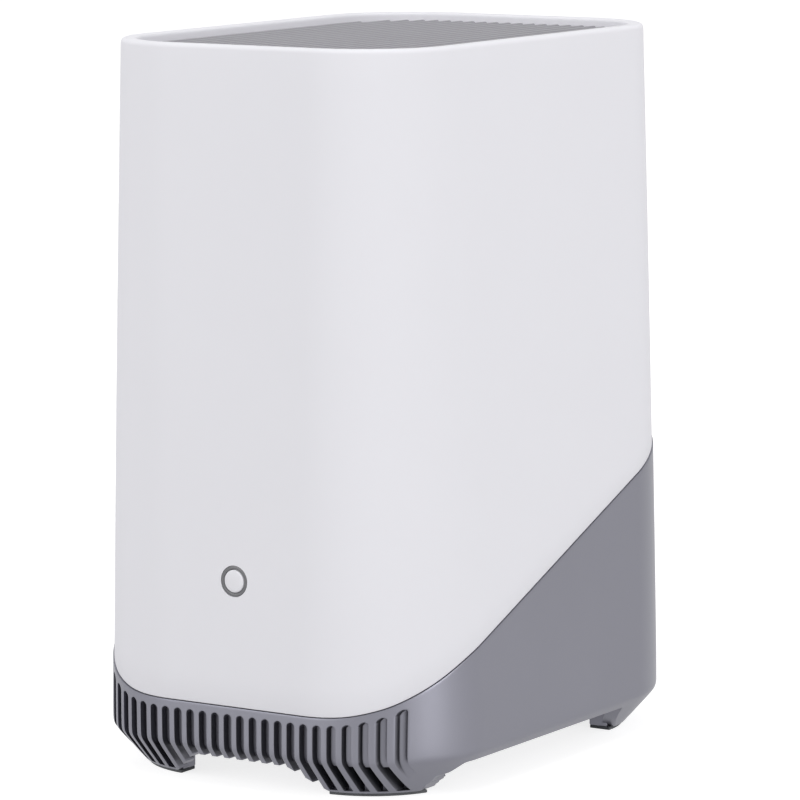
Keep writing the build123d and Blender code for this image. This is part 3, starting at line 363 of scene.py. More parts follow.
# %% Columns of the base
SLOT_COUNT, SLOT_PITCH, SLOT_WIDTH, SLOT_DEPTH = 24, 3.58, 2.15, 1.9
BASE_WALL, GREY_PROUD, SEAM_GAP, LIP_RISE, LIP_INSET = 3.4, 0.3, 0.18, 4.0, 2.3
SIDE_STEP = 1.4
slot_x = SLOT_PITCH * (np.arange(SLOT_COUNT) - (SLOT_COUNT - 1) / 2)
half_slot = SLOT_WIDTH / 2
EDGE_OFFSETS = np.array([-0.5, -0.25, -0.12, -0.04, 0.0, 0.08, 0.16, 0.3, 0.5, 0.75])
slot_offsets = np.concatenate((-half_slot + EDGE_OFFSETS, [0.0], (half_slot - EDGE_OFFSETS)[::-1]))
slotted_x = (slot_x[:, None] + slot_offsets).ravel()
LAST_TURN = math.asin((slotted_x[-1] - FRONT_FLAT) / (BODY_CORNER + GREY_PROUD))
on_corner = np.clip((np.abs(slotted_x) - FRONT_FLAT) / (BODY_CORNER + GREY_PROUD), 0, 1)
on_flat = np.minimum(np.abs(slotted_x), FRONT_FLAT)
slotted_runs = np.sign(slotted_x) * (on_flat + BODY_CORNER * np.arcsin(on_corner))
last_run = slotted_runs[-1]
plain_count = int((2 * HALF_ROUND - 2 * last_run) / SIDE_STEP)
plain_runs = np.linspace(last_run, 2 * HALF_ROUND - last_run, plain_count)[1:-1]
plain_runs = (plain_runs + HALF_ROUND) % (2 * HALF_ROUND) - HALF_ROUND
base_runs = np.sort(np.concatenate((slotted_runs, plain_runs)))
base_ax, base_ay, _cx, _cy = stations(base_runs)
turn_front = np.clip((np.abs(base_runs) - FRONT_FLAT) / BODY_CORNER, 0, math.pi / 2)
turn_back = np.clip((np.abs(base_runs) - FRONT_FLAT - QUARTER - SIDE_FLAT) / BODY_CORNER, 0, math.pi / 2)
past_slots = np.clip((turn_front - LAST_TURN) / (math.pi / 2 - LAST_TURN), 0, 1)


def base_skin(z, inset):
    """The skin with its slotted columns kept in their planes. A corner column leaves the bend at a turn t.
    At a height where the corner's radius is r, it has to be at the turn whose sine is sin(t) r(bend) / r,
    so that its place across stays. Past the last slot the columns share the turn that is left until the
    side."""
    _rise, corner, drawn_in = corner_at(z)
    radius = corner - drawn_in + GREY_PROUD
    sine = np.sin(np.minimum(turn_front, LAST_TURN)) * (BODY_CORNER + GREY_PROUD) / radius
    kept_turn = np.arcsin(np.clip(sine, 0, 1))
    turn = kept_turn + past_slots * (math.pi / 2 - kept_turn)
    cx = np.where(base_runs < 0, -1, 1) * np.sin(turn) * np.cos(turn_back)
    return skin((base_ax, base_ay, cx, np.sin(turn_back) - np.cos(turn)), z, inset)


base_seam = settled(len(base_runs), lambda z: base_skin(z, 0), seam_at, SEAM_LOW) - SEAM_GAP
across = base_skin(np.full(len(base_runs), BEND_HEIGHT), -GREY_PROUD)[:, 0]
from_slot = np.where(past_slots > 0, SLOT_PITCH, np.min(np.abs(across[:, None] - slot_x), 1))
print("base has", len(base_runs), "columns")

# %% [markdown]
# Between its feet the skirt is arched, at the front, the back and both sides, so that air reaches the
# slots. The arches set the height of each column's lower end. The same rounded line as the seam's draws
# them.

# %% Arches
SKIRT_LOW, ARCH_HIGH, ARCH_ROUND = 0.85, 7.0, 2.0
FRONT_ARCH, FRONT_ARCH_FOOT = 13.4, 21.8
SIDE_HIGH = 7.5
SIDE_FRONT = [(-48.3, SKIRT_LOW), (-48.1, 4.8), (-44.8, 5.3), (-42.0, SIDE_HIGH)]
SIDE_BACK = [(31.5, SIDE_HIGH), (33.0, 4.4), (36.5, 1.8), (37.5, SKIRT_LOW)]
SIDE_ROUNDS = (0.2, 0.3, 0.8, 1.5, 0.8, 2.0, 0.5, 0.3)
front_arch = rounded_line(
    [(0, ARCH_HIGH), (FRONT_ARCH, ARCH_HIGH), (FRONT_ARCH_FOOT, SKIRT_LOW), (BODY_WIDTH, SKIRT_LOW)],
    (ARCH_ROUND, ARCH_ROUND),
)
side_points = [(-BODY_DEPTH, SKIRT_LOW), *SIDE_FRONT, *SIDE_BACK, (BODY_DEPTH, SKIRT_LOW)]
side_arch = rounded_line(side_points, SIDE_ROUNDS)


def arch_over(x, y):
    """Height of the skirt's lower edge at a place: the higher of the two arches that reach it."""
    return np.maximum(np.interp(np.abs(x), *front_arch.T), np.interp(y, *side_arch.T))


base_low = settled(len(base_runs), lambda z: base_skin(z, 0), arch_over, ARCH_HIGH)
print("arches rise to", ARCH_HIGH, "mm at the front and", SIDE_HIGH, "mm at the sides")

# %% [markdown]
# Now the rows. From the top they follow the lip inside the white shell, turn out over the grey edge, pass
# the slots' round tops in fine steps, run down to the bend, and end at the arches. In a slot the surface
# sinks straight back by a depth that depends only on how far a point is inside the slot. Under the bend the
# slots are open right through, so we leave their cells out, but for a thin rim that closes each foot. The
# last slot on either side is blind: its floor stays in one plane, and the skirt falls back past it, so the
# slot runs out under the bend.

# %% Grey base shell
SHOULDER, SHOULDER_SPREAD, WALL_SPREAD = 0.1, 0.25, 0.08
SLOT_SEAM_MARGIN, SLOT_THROUGH, SLOT_THROUGH_DEPTH, LEAST_ACROSS = 2.0, 8.4, 6.0, 0.2
FOOT_RIM, STRAIGHT_ROWS, THROUGH_ROWS, ROW_GAP = 0.6, 7, 9, 0.05
BLIND_MARGIN, BLIND_TURN, RUN_OUT = 0.6, 2.0, 6.2
CAP_DROPS = np.arange(1.45, 3.4, 0.13)
BEND_RISES = (1.0, 0.65, 0.35, 0.1, -0.15, -0.4, -0.7, -1.1)
PROUD = -GREY_PROUD
full = np.full_like(base_seam, 1.0)
top_rows = [(LIP_INSET, base_seam + LIP_RISE), (LIP_INSET, base_seam), (PROUD + EDGE_ROUND, base_seam)]
top_rows += [(PROUD + EDGE_ROUND / 4, base_seam - EDGE_ROUND / 4)]
drop_rows = [(PROUD, base_seam - drop) for drop in (EDGE_ROUND, 0.6, 1.05, *CAP_DROPS)]
wall_top, bend_over = base_seam - CAP_DROPS[-1], BEND_HEIGHT + 1.5
straight_share = np.linspace(0, 1, STRAIGHT_ROWS + 1)[1:]
straight_rows = [(PROUD, wall_top + (bend_over - wall_top) * share) for share in straight_share]
bend_rows = [(PROUD, full * (BEND_HEIGHT + rise)) for rise in BEND_RISES]
bend_rows += [(PROUD, full * SLOT_THROUGH + ROW_GAP)]
rim_high = np.maximum(base_low + EDGE_ROUND + ROW_GAP, SKIRT_LOW + FOOT_RIM)
through_share = np.linspace(0, 1, THROUGH_ROWS)
low_rows = [(PROUD, SLOT_THROUGH + (rim_high - SLOT_THROUGH) * share) for share in through_share]
low_rows += [(PROUD, base_low + EDGE_ROUND), (PROUD + EDGE_ROUND, base_low)]
outer_rows = top_rows + drop_rows + straight_rows + bend_rows + low_rows
first_through = len(outer_rows) - len(low_rows)
first_bend = first_through - len(bend_rows)

heights = np.array([z for _inset, z in outer_rows])
insets = np.array([inset + 0 * full for inset, _z in outer_rows])
cap_middle = base_seam + SEAM_GAP - SLOT_SEAM_MARGIN - half_slot
from_middle = np.hypot(from_slot, np.clip(heights - cap_middle, 0, None))
inside_by = half_slot - from_middle
shoulder = SHOULDER * np.clip(1 + inside_by / SHOULDER_SPREAD, 0, 1) ** 2
sunk = np.clip(inside_by / WALL_SPREAD, 0, 1)
depth = shoulder + (SLOT_DEPTH - SHOULDER) * sunk
outer_grid = base_skin(heights, insets)
blind = np.abs(across) > slot_x[-1] - half_slot - BLIND_MARGIN
at_bend = outer_grid[first_bend, :, 1]
under_bend = np.clip((BEND_HEIGHT - heights) / BLIND_TURN, 0, 1)
gone_back = outer_grid[..., 1] - at_bend + under_bend * (at_bend - at_bend[blind].min())
run_out = np.where(blind, np.clip(1 - gone_back / RUN_OUT, 0, 1), 1)
blind_depth = depth * run_out
depth[first_through:] = shoulder[first_through:]
depth[first_through] = np.where(sunk[first_through] > 0.5, SLOT_DEPTH, shoulder[first_through])
depth = np.where(blind, blind_depth, depth)
depth[: len(top_rows)] = 0
depth[-2:] = 0
through_wall = base_skin(heights, np.full_like(heights, BASE_WALL)) - outer_grid
squared = through_wall[..., 0] ** 2 + through_wall[..., 1] ** 2
straight_through = squared / np.maximum(through_wall[..., 1], LEAST_ACROSS)
straight_through = np.minimum(straight_through, SLOT_THROUGH_DEPTH)
inner_grid = outer_grid + through_wall * past_slots[:, None]
inner_grid[..., 1] += straight_through * (1 - past_slots)
outer_grid[..., 1] += depth
base_cells = np.ones((len(outer_rows) - 1, len(base_runs)), bool)
inside, standing = from_slot < half_slot + 1e-6, base_low < SKIRT_LOW + 0.2
painted_slot_shade, on_foot = inside & np.roll(inside, -1), standing & np.roll(standing, -1)
base_cells[first_through:] = ~painted_slot_shade | blind
base_cells[-2:] |= on_foot
base_shell = solid_mesh("base_shell_skin", *thick_sheet(outer_grid, inner_grid, base_cells))

# Painted shade: the grey paint is darkened in the slots. It is darkest just inside each slot's edge and over
# the inner face, lighter on the floors, fades where the blind slots run out, and is absent on the rows that
# close the feet.
PAINTED_WALL_SHADE = [(-0.01, 0.0), (0.0, 0.4), (0.08, 0.9), (0.16, 0.4), (0.3, 0.2), (0.5, 0.12)]
shade_outside = np.interp(inside_by, *np.transpose(PAINTED_WALL_SHADE)) * run_out
shade_inside = np.ones_like(shade_outside)
shade_outside[-3:] = shade_inside[-3:] = 0
in_shade = np.concatenate((shade_outside.ravel(), shade_inside.ravel()))
shade_values = base_shell.data.attributes.new("painted_slot_shade", "FLOAT", "POINT").data
shade_values.foreach_set("value", in_shade.astype(np.float32))
count_of(base_shell)

# %% [markdown]
# Behind the skirt each foot is filled by a curved block, so that it looks solid from the side. Its outline
# is a crescent that follows the body's rounded corner. A slab is a flat outline with a thickness, and a
# Bevel modifier rounds its edges. Four slabs join the shell's mesh. The front ones stop short of the
# skirt's ends, so that they stay hidden behind it.

# %% Blocks inside the feet
FOOT_FRONT_REACH, FOOT_BACK_REACH, FOOT_INNER_X, CORE_FRONT_REACH = -46.0, 36.5, 21.3, -49.5
CORE_INSET, CORE_INNER_INSET, CORE_HIGH, CORE_COVER, CORE_ROUND = 1.3, 6.35, 8.6, 0.1, 0.3
ARC_POINTS, SHORT_RUN = 24, 0.1
BEVEL_SEGMENTS, BEVEL_ANGLE = 3, math.radians(35)
FOOT_CORNER = BODY_CORNER - TUCK - (BEND_HEIGHT - SKIRT_LOW) * BEVEL_SHARE
CORNER_Y = BODY_DEPTH / 2 - BODY_CORNER


def crescent_side(radius, inner_x, end_y, sign_y):
    """One long side of a right-hand crescent, from its inner end: x = a + r sin t, y = s (b + r cos t), an
    arc round the middle of the body's corner. If the arc ends short of end_y, a straight run goes on to
    it."""
    start = math.asin((inner_x - FRONT_FLAT) / radius)
    stop = math.acos(np.clip((sign_y * end_y - CORNER_Y) / radius, 0, 1))
    t = np.linspace(start, stop, ARC_POINTS)
    arc = np.column_stack((FRONT_FLAT + radius * np.sin(t), sign_y * (CORNER_Y + radius * np.cos(t))))
    return np.concatenate((arc, [(arc[-1, 0], end_y)])) if abs(arc[-1, 1] - end_y) > SHORT_RUN else arc


def crescent(outer_inset, inner_inset, end_y, sign_y, cover=0.0):
    """Outline of a right-hand crescent: out along its outer side and back along its inner one. A cover
    makes it longer at both ends."""
    inner_x, end_y = FOOT_INNER_X - cover, end_y - sign_y * cover
    radii = FOOT_CORNER - outer_inset, FOOT_CORNER - inner_inset
    outer, inner = (crescent_side(radius, inner_x, end_y, sign_y) for radius in radii)
    return np.concatenate((outer, inner[::-1]))


def slab(name, outline, low, high, rounding):
    """Flat outline given a thickness, with rounded edges."""
    count = len(outline)
    points = np.concatenate([np.column_stack((outline, np.full(count, z))) for z in (low, high)]) * MM
    ids = np.arange(count)
    sides = np.stack((ids, np.roll(ids, -1), np.roll(ids, -1) + count, ids + count), -1).tolist()
    mesh = bpy.data.meshes.new(name)
    mesh.from_pydata(points.tolist(), [], [ids[::-1].tolist(), (ids + count).tolist()] + sides)
    piece = bpy.data.objects.new(name, mesh)
    bpy.context.scene.collection.objects.link(piece)
    edge = piece.modifiers.new("edge", "BEVEL")
    edge.width, edge.segments = rounding * MM, BEVEL_SEGMENTS
    edge.limit_method, edge.angle_limit = "ANGLE", BEVEL_ANGLE
    return welded(piece)


def joined(piece, others):
    """One mesh from several pieces, with their modifiers applied."""
    work = bmesh.new()
    work.from_mesh(piece.data)
    for other in others:
        shape = other.evaluated_get(bpy.context.evaluated_depsgraph_get()).to_mesh()
        work.from_mesh(shape)
        bpy.data.objects.remove(other)
    work.to_mesh(piece.data)
    work.free()


cores = []
for sign_y, end_y in ((-1, CORE_FRONT_REACH), (1, FOOT_BACK_REACH)):
    core_outline = crescent(CORE_INSET, CORE_INNER_INSET, end_y, sign_y, CORE_COVER)
    for sign_x in (-1, 1):
        cores.append(slab("core", core_outline * (sign_x, 1), SKIRT_LOW, CORE_HIGH, CORE_ROUND))
joined(base_shell, cores)
count_of(base_shell)

# %% [markdown]
# The back of the base has a window for the ports. Its rounded corners reach into the curved part of the
# wall, so the same Boolean does it, with a rounded rectangle in place of the circle.

# %% Port window
WINDOW_WIDTH, WINDOW_HEIGHT, WINDOW_LOW, WINDOW_ROUND = 58.0, 20.0, 19.6, 2.5
WINDOW_FRONT, WINDOW_BACK = 55, 80
window_corners = [(1, 1), (-1, 1), (-1, -1), (1, -1)]
window_section = np.concatenate(
    [
        np.array([a * (WINDOW_WIDTH / 2 - WINDOW_ROUND), b * (WINDOW_HEIGHT / 2 - WINDOW_ROUND)])
        + WINDOW_ROUND * CIRCLE[CIRCLE_QUARTER * k : CIRCLE_QUARTER * (k + 1) + 1]
        for k, (a, b) in enumerate(window_corners)
    ]
)
window_profile = [(0, WINDOW_FRONT), (1, WINDOW_FRONT), (1, WINDOW_BACK), (0, WINDOW_BACK)]
cut_with(base_shell, turned("window", window_profile, 0, WINDOW_LOW + WINDOW_HEIGHT / 2, window_section))
count_of(base_shell)

# %% [markdown]
# Warm air leaves through the grille in the top. Its slats run from front to back, and their rounded tops
# stand a little above the frame that carries them, which gives the far edge its small teeth. A slat is a
# rounded section carried along Y; its ends close in a pole inside the frame.

# %% Top grille
GRILLE_GAP, GRILLE_MARGIN, GRILLE_TOP, GRILLE_LOW = 0.15, 3.0, 174.6, 172.0
SLAT_COUNT, SLAT_PITCH, SLAT_HALF, FRAME_DROP = 22, 3.58, 0.8, 0.5
RIB_SPACING, RIB_HALF_WIDTH, RIB_TOP, RIB_REACH = 36.0, 1.5, 173.2, 38.0
SLAT_CROWN, RIB_CROWN, CROWN_POWER, SLAT_COVER = 0.55, 0.3, 0.7, 1.6
FRAME_COLUMNS, FRAME_INSET = 240, 3.8
frame_inset = FRAME_INSET + GRILLE_GAP
slat_inset = frame_inset + GRILLE_MARGIN
round_over = np.linspace(0, math.pi, 11)


def bar_section(half, low, high, drop):
    """Section of a bar as (across, up): straight sides, then a crowned top that falls by a drop to its
    edges, across = half cos^p t and up = high - drop + drop sin t."""
    across = half * np.sign(np.cos(round_over)) * np.abs(np.cos(round_over)) ** CROWN_POWER
    top = np.column_stack((across, high - drop + drop * np.sin(round_over)))
    return np.concatenate(([(half, low)], top, [(-half, low)]))


def bars(section, middles, reaches, along):
    """Points and quads of bars: the section at both ends, and its middle beyond them as a pole. along is 1
    for bars that run along Y and 0 for bars along X."""
    pole = np.broadcast_to(section.mean(0), section.shape)
    rows = np.stack((pole, section, section, pole))
    ends = np.array([-1, -1, 1, 1])
    points, faces = [], []
    for index, (middle, reach) in enumerate(zip(middles, reaches)):
        across = middle + rows[..., 0]
        lengthwise = np.broadcast_to((ends * reach)[:, None], across.shape)
        pair = (across, lengthwise) if along else (lengthwise, across)
        points.append(np.stack((*pair, rows[..., 1]), -1).reshape(-1, 3))
        faces.append(wrapped(4, len(section)) + index * 4 * len(section))
    return np.concatenate(points), np.concatenate(faces)


slat_x = (np.arange(SLAT_COUNT) - (SLAT_COUNT - 1) / 2) * SLAT_PITCH
past_flat = np.clip(np.abs(slat_x) - (TOP_WIDTH / 2 - TOP_CORNER), 0, None)
slat_reach = TOP_DEPTH / 2 - TOP_CORNER + np.sqrt((TOP_CORNER - slat_inset) ** 2 - past_flat**2) + SLAT_COVER
slats = bars(bar_section(SLAT_HALF, GRILLE_LOW, GRILLE_TOP, SLAT_CROWN), slat_x, slat_reach, 1)
rib_y = (-RIB_SPACING / 2, RIB_SPACING / 2)
ribs = bars(bar_section(RIB_HALF_WIDTH, GRILLE_LOW, RIB_TOP, RIB_CROWN), rib_y, (RIB_REACH,) * 2, 0)
frame_top = GRILLE_TOP - FRAME_DROP
frame_profile = [(0, frame_top - 0.2), (0.2, frame_top), (2.6, frame_top), (2.9, frame_top - 0.15)]
frame_profile += [(GRILLE_MARGIN, frame_top - 0.5), (GRILLE_MARGIN, GRILLE_LOW), (0, GRILLE_LOW)]
frame_columns = stations(np.linspace(-HALF_ROUND, HALF_ROUND, FRAME_COLUMNS, endpoint=False))
frame_level = np.ones(FRAME_COLUMNS)
frame_rows = [skin(frame_columns, z * frame_level, frame_inset + step) for step, z in frame_profile]
frame_points = np.stack(frame_rows).reshape(-1, 3)
frame_faces = wrapped(len(frame_rows), FRAME_COLUMNS)
parts_of_grille = [(frame_points, frame_faces), slats, ribs]
starts = np.cumsum([0] + [len(points) for points, _faces in parts_of_grille])
top_grille = welded(
    solid_mesh(
        "top_grille_slats",
        np.concatenate([points for points, _faces in parts_of_grille]),
        np.concatenate([faces + start for (_points, faces), start in zip(parts_of_grille, starts)]),
    )
)
count_of(top_grille)

# %% [markdown]
# The light ring is a clear-looking grey pipe, its front edge rounded by a hair. The button inside it is a
# white disc with a slight dome. Both are turned, with the flanges that hold them behind the wall.

# %% Light ring and front button
RING_LENGTH, FLANGE_RADIUS, FLANGE_FRONT, FLANGE_BACK = 5.8, 5.6, 2.5, 3.5
BUTTON_PROUD, BUTTON_BACK, BUTTON_FLANGE = 0.25, 6.9, 3.5
ring_profile = [
    (RING_INNER, RING_LENGTH),
    (RING_INNER, 0.3),
    (RING_INNER + 0.1, 0.1),
    (RING_INNER + 0.25, 0.04),
    (RING_RADIUS - 0.2, 0.04),
    (RING_RADIUS - 0.05, 0.12),
    (RING_RADIUS, 0.3),
    (RING_RADIUS, FLANGE_FRONT),
    (FLANGE_RADIUS, FLANGE_FRONT),
    (FLANGE_RADIUS, FLANGE_BACK),
    (RING_RADIUS, FLANGE_BACK),
    (RING_RADIUS, RING_LENGTH),
]
button_profile = [
    (0, -BUTTON_PROUD),
    (1.2, -BUTTON_PROUD + 0.02),
    (2.2, -BUTTON_PROUD + 0.06),
    (2.55, -BUTTON_PROUD + 0.13),
    (BUTTON_RADIUS - 0.05, 0.05),
    (BUTTON_RADIUS, 0.3),
    (BUTTON_RADIUS, BUTTON_BACK - 0.8),
    (BUTTON_FLANGE, BUTTON_BACK - 0.8),
    (BUTTON_FLANGE, BUTTON_BACK),
    (0, BUTTON_BACK),
]
light_ring, front_button = (
    turned(name, [(radius, FRONT_Y + y) for radius, y in profile], 0, BUTTON_HEIGHT)
    for name, profile in (("light_ring_pipe", ring_profile), ("front_button_disc", button_profile))
)
count_of(light_ring)
count_of(front_button)

# %% [markdown]
# Four thin rubber pads keep the station from sliding. Each is a crescent under its foot, as wide as the
# foot.

# %% Foot pads
PAD_INSET, PAD_INNER_INSET, PAD_LOW, PAD_ROUND = 0.5, 6.2, 0.02, 0.22
pads = {}
for end, sign_y, end_y in (("front", -1, FOOT_FRONT_REACH), ("back", 1, FOOT_BACK_REACH)):
    for side, sign_x in (("left", -1), ("right", 1)):
        node = f"foot_pad_{end}_{side}"
        outline = crescent(PAD_INSET, PAD_INNER_INSET, end_y, sign_y) * (sign_x, 1)
        pads[node] = slab(f"{node}_rubber", outline, PAD_LOW, SKIRT_LOW, PAD_ROUND)
print("made", len(pads), "pads")

# %% [markdown]
# A finish is colour, gloss and a little unevenness. Moulded plastic has a fine spark-eroded grain, paint
# has flakes and an orange-peel ripple, rubber is dull and dusty. One helper builds them all: two noises,
# one broad for tone and one fine for the bump, on Object coordinates, so they stay put on every piece.

# %% A material with grain
BROAD_SIZE, ROUGH_TONE, BUMP_STRENGTH, COAT_ROUGH = 0.03, 0.05, 0.6, 0.2
EVEN = (1, 1, 1)


def grained(
    name, colour, rough, grain, bump, metallic=0.0, tone=0.03, coat=0.0, stretch=EVEN, shade=1.0
):
    """Principled material. grain is the bump's size in metres, bump its height in metres, tone the share by
    which the colour wanders, and stretch draws the grain out along an axis. shade is painted shade: what is
    left of the colour where the slots' painted shade attribute is 1."""
    material = bpy.data.materials.new(name)
    material.use_nodes = True
    tree = material.node_tree
    surface = tree.nodes["Principled BSDF"]
    place = tree.nodes.new("ShaderNodeTexCoord")
    mapped = tree.nodes.new("ShaderNodeMapping")
    mapped.inputs["Scale"].default_value = stretch
    tree.links.new(place.outputs["Object"], mapped.inputs["Vector"])
    noises = {}
    for use, size, detail in (("broad", BROAD_SIZE, 3.0), ("fine", grain, 4.0)):
        noise = noises[use] = tree.nodes.new("ShaderNodeTexNoise")
        noise.inputs["Scale"].default_value = 1 / size
        noise.inputs["Detail"].default_value = detail
        tree.links.new(mapped.outputs["Vector"], noise.inputs["Vector"])
    tones = tree.nodes.new("ShaderNodeMixRGB")
    tones.inputs["Color1"].default_value = (*[min(c * (1 - tone), 1) for c in colour], 1)
    tones.inputs["Color2"].default_value = (*[min(c * (1 + tone), 1) for c in colour], 1)
    tree.links.new(noises["broad"].outputs["Fac"], tones.inputs["Fac"])
    final = tones.outputs["Color"]
    # Painted shade: where the slots' painted shade attribute is high, the colour is multiplied down towards
    # shade.
    if shade < 1:
        inside = tree.nodes.new("ShaderNodeAttribute")
        inside.attribute_name = "painted_slot_shade"
        shaded = tree.nodes.new("ShaderNodeMixRGB")
        shaded.blend_type = "MULTIPLY"
        shaded.inputs["Color2"].default_value = (shade, shade, shade, 1)
        tree.links.new(inside.outputs["Fac"], shaded.inputs["Fac"])
        tree.links.new(final, shaded.inputs["Color1"])
        final = shaded.outputs["Color"]
    tree.links.new(final, surface.inputs["Base Color"])
    gloss = tree.nodes.new("ShaderNodeMapRange")
    gloss.inputs["To Min"].default_value = rough - ROUGH_TONE
    gloss.inputs["To Max"].default_value = rough + ROUGH_TONE
    tree.links.new(noises["fine"].outputs["Fac"], gloss.inputs["Value"])
    tree.links.new(gloss.outputs["Result"], surface.inputs["Roughness"])
    relief = tree.nodes.new("ShaderNodeBump")
    relief.inputs["Distance"].default_value = bump
    relief.inputs["Strength"].default_value = BUMP_STRENGTH
    tree.links.new(noises["fine"].outputs["Fac"], relief.inputs["Height"])
    tree.links.new(relief.outputs["Normal"], surface.inputs["Normal"])
    surface.inputs["Metallic"].default_value = metallic
    surface.inputs["Coat Weight"].default_value = coat
    surface.inputs["Coat Roughness"].default_value = COAT_ROUGH
    return material


finishes = {
    "white_plastic": grained("white_plastic", (0.815, 0.81, 0.852), 0.68, 0.0003, 0.000004, tone=0.008),
    # The grey paint takes the slots' painted shade, down to a fifth of its colour.
    "grey_paint": grained(
        "grey_paint", (0.207, 0.207, 0.24), 0.42, 0.0002, 0.000005, metallic=0.9, shade=0.2
    ),
    "grille_grey": grained("grille_grey", (0.30, 0.296, 0.322), 0.5, 0.0003, 0.000006, metallic=0.2),
    "foot_rubber": grained("foot_rubber", (0.10, 0.105, 0.112), 0.75, 0.0006, 0.00003, tone=0.12),
    "black_plastic": grained("black_plastic", (0.028, 0.028, 0.03), 0.5, 0.0004, 0.00001, tone=0.1),
    "sheet_steel": grained(
        "sheet_steel", (0.56, 0.57, 0.58), 0.32, 0.0002, 0.000004, metallic=1.0, stretch=(1, 1, 0.06)
    ),
    "board_green": grained("board_green", (0.02, 0.11, 0.055), 0.4, 0.0005, 0.00001, tone=0.15, coat=0.4),
    "chip_black": grained("chip_black", (0.02, 0.02, 0.022), 0.55, 0.0002, 0.000006, tone=0.1),
    "pad_grey": grained("pad_grey", (0.33, 0.36, 0.4), 0.8, 0.0006, 0.00002),
    "sink_aluminium": grained(
        "sink_aluminium", (0.62, 0.63, 0.65), 0.38, 0.0002, 0.000004, metallic=1.0, stretch=(1, 1, 0.05)
    ),
    "pin_brass": grained("pin_brass", (0.72, 0.6, 0.34), 0.25, 0.0002, 0.000002, metallic=1.0),
    "ring_grey": grained("ring_grey", (0.15, 0.15, 0.16), 0.35, 0.0003, 0.000003),
    "led_white": grained("led_white", (0.8, 0.78, 0.6), 0.3, 0.0002, 0.000002),
    "cone_black": grained("cone_black", (0.03, 0.03, 0.03), 0.9, 0.0008, 0.00003, tone=0.2),
    "screw_steel": grained("screw_steel", (0.5, 0.5, 0.52), 0.35, 0.0002, 0.000003, metallic=1.0),
    "cable_black": grained("cable_black", (0.02, 0.02, 0.02), 0.55, 0.0003, 0.00001),
}
print("mixed", len(finishes), "finishes")

# %% [markdown]
# Every CAD node takes the finish of its slot in the record, hidden or not, because somebody will look
# inside. Our own surfaces take the slot of the node that they stand for, ride on its body and hide it.

# %% Dress the nodes, and mount our own surfaces
slots = {part["node"]: part["material_slot"] for part in frame["record"]["subparts"]}
for node, piece in nodes.items():
    piece.data.materials.clear()
    piece.data.materials.append(finishes[slots[node]])


def stands_for(piece, node):
    """Our surface takes the node's finish, body and place."""
    piece.data.materials.clear()
    piece.data.materials.append(finishes[slots[node]])
    body = next(name for name, members in frame["record"]["behaviour"]["bodies"].items() if node in members)
    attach(piece, body)
    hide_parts(node)


own = {"outer_shell": outer_shell, "base_shell": base_shell, "top_grille": top_grille}
own.update({"light_ring": light_ring, "front_button": front_button}, **pads)
for node, piece in own.items():
    stands_for(piece, node)
print("mounted", len(own), "surfaces")

# %% [markdown]
# The studio is plain: a pale floor and four soft lamps. The floor looks white to the camera because a
# little light is added for camera, mirror and glass rays only; the object never receives it, and keeps its
# shadow.

# %% Floor and background
FLOOR_SIZE, FLOOR_TONE, FLOOR_ROUGH, FLOOR_GLOW = 6.0, 0.45, 0.9, 0.78
floor_mesh = bpy.data.meshes.new("floor")
half = FLOOR_SIZE / 2
floor_corners = [(-half, -half, 0), (half, -half, 0), (half, half, 0), (-half, half, 0)]
floor_mesh.from_pydata(floor_corners, [], [(0, 1, 2, 3)])
floor = bpy.data.objects.new("floor", floor_mesh)
bpy.context.scene.collection.objects.link(floor)


def seen_directly(tree):
    """Socket that is 1 for rays that come from the camera, a mirror or glass."""
    path = tree.nodes.new("ShaderNodeLightPath")
    total = path.outputs["Is Camera Ray"]
    for ray in ("Is Glossy Ray", "Is Transmission Ray"):
        add = tree.nodes.new("ShaderNodeMath")
        add.operation, add.use_clamp = "ADD", True
        tree.links.new(total, add.inputs[0])
        tree.links.new(path.outputs[ray], add.inputs[1])
        total = add.outputs["Value"]
    return total


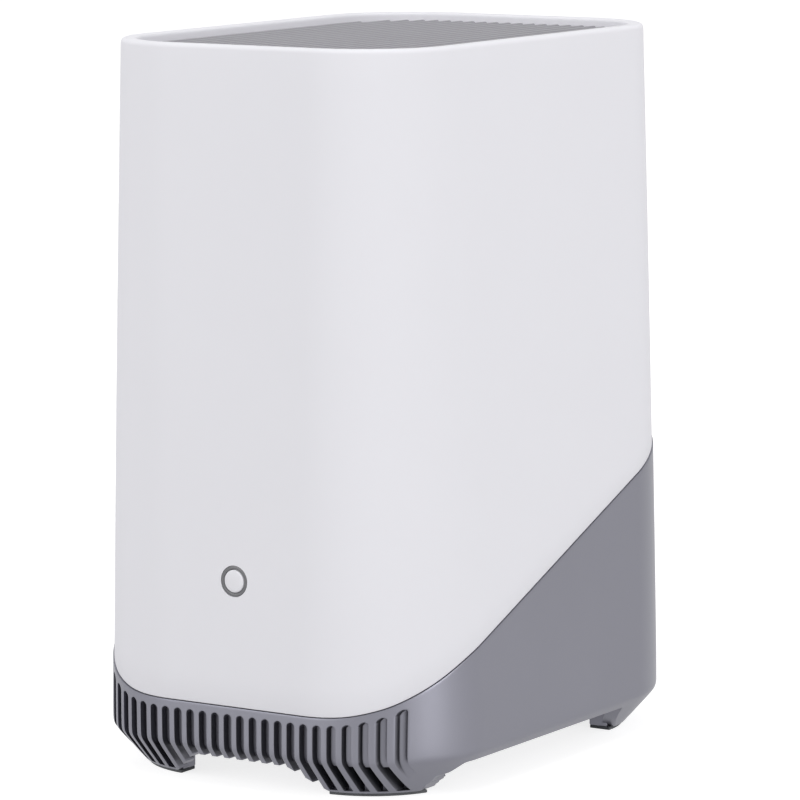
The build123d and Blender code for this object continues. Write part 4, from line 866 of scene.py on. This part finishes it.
floor_material = bpy.data.materials.new("floor")
floor_material.use_nodes = True
tree = floor_material.node_tree
surface = tree.nodes["Principled BSDF"]
surface.inputs["Base Color"].default_value = (FLOOR_TONE, FLOOR_TONE, FLOOR_TONE, 1)
surface.inputs["Roughness"].default_value = FLOOR_ROUGH
surface.inputs["Emission Color"].default_value = (1, 1, 1, 1)
glow = tree.nodes.new("ShaderNodeMath")
glow.operation = "MULTIPLY"
glow.inputs[1].default_value = FLOOR_GLOW
tree.links.new(seen_directly(tree), glow.inputs[0])
tree.links.new(glow.outputs["Value"], surface.inputs["Emission Strength"])
floor_mesh.materials.append(floor_material)

WORLD_LIGHT = 0.5
world = bpy.data.worlds.new("studio")
bpy.context.scene.world = world
world.use_nodes = True
tree = world.node_tree
background = tree.nodes["Background"]
background.inputs["Color"].default_value = (1, 1, 1, 1)
level = tree.nodes.new("ShaderNodeMapRange")
level.inputs["To Min"].default_value = WORLD_LIGHT
level.inputs["To Max"].default_value = 1.0
tree.links.new(seen_directly(tree), level.inputs["Value"])
tree.links.new(level.outputs["Result"], background.inputs["Strength"])
print("floor of", FLOOR_SIZE, "m")

# %% [markdown]
# Soft boxes are large area lamps. A big one in front on the left lights the front evenly, a smaller one on
# the right keeps the long side nearly as bright, a low strip beside it makes the sheen on the grey corner,
# and one overhead catches the rim.

# %% Lamps
LAMPS = {
    "front": ((-0.55, -1.35, 0.65), 1.0, 9.8),
    "side": ((1.4, 0.0, 0.75), 0.9, 3.9),
    "strip": ((1.45, -0.23, 0.22), 0.4, 5.5),
    "top": ((0.0, 0.1, 1.6), 0.9, 6.4),
}
AIM = Vector((0, 0, 0.09))
for name, (place, size, power) in LAMPS.items():
    lamp_data = bpy.data.lights.new(name, "AREA")
    lamp_data.shape, lamp_data.size, lamp_data.energy = "SQUARE", size, power
    lamp = bpy.data.objects.new(name, lamp_data)
    bpy.context.scene.collection.objects.link(lamp)
    lamp.location = place
    lamp.rotation_euler = (Vector(place) - AIM).to_track_quat("Z", "Y").to_euler()
bpy.context.scene.view_settings.view_transform = "Standard"
print("lit by", len(LAMPS), "lamps")

# %% [markdown]
# Last, the scene is finished.

# %% Finish
print("scene finished")
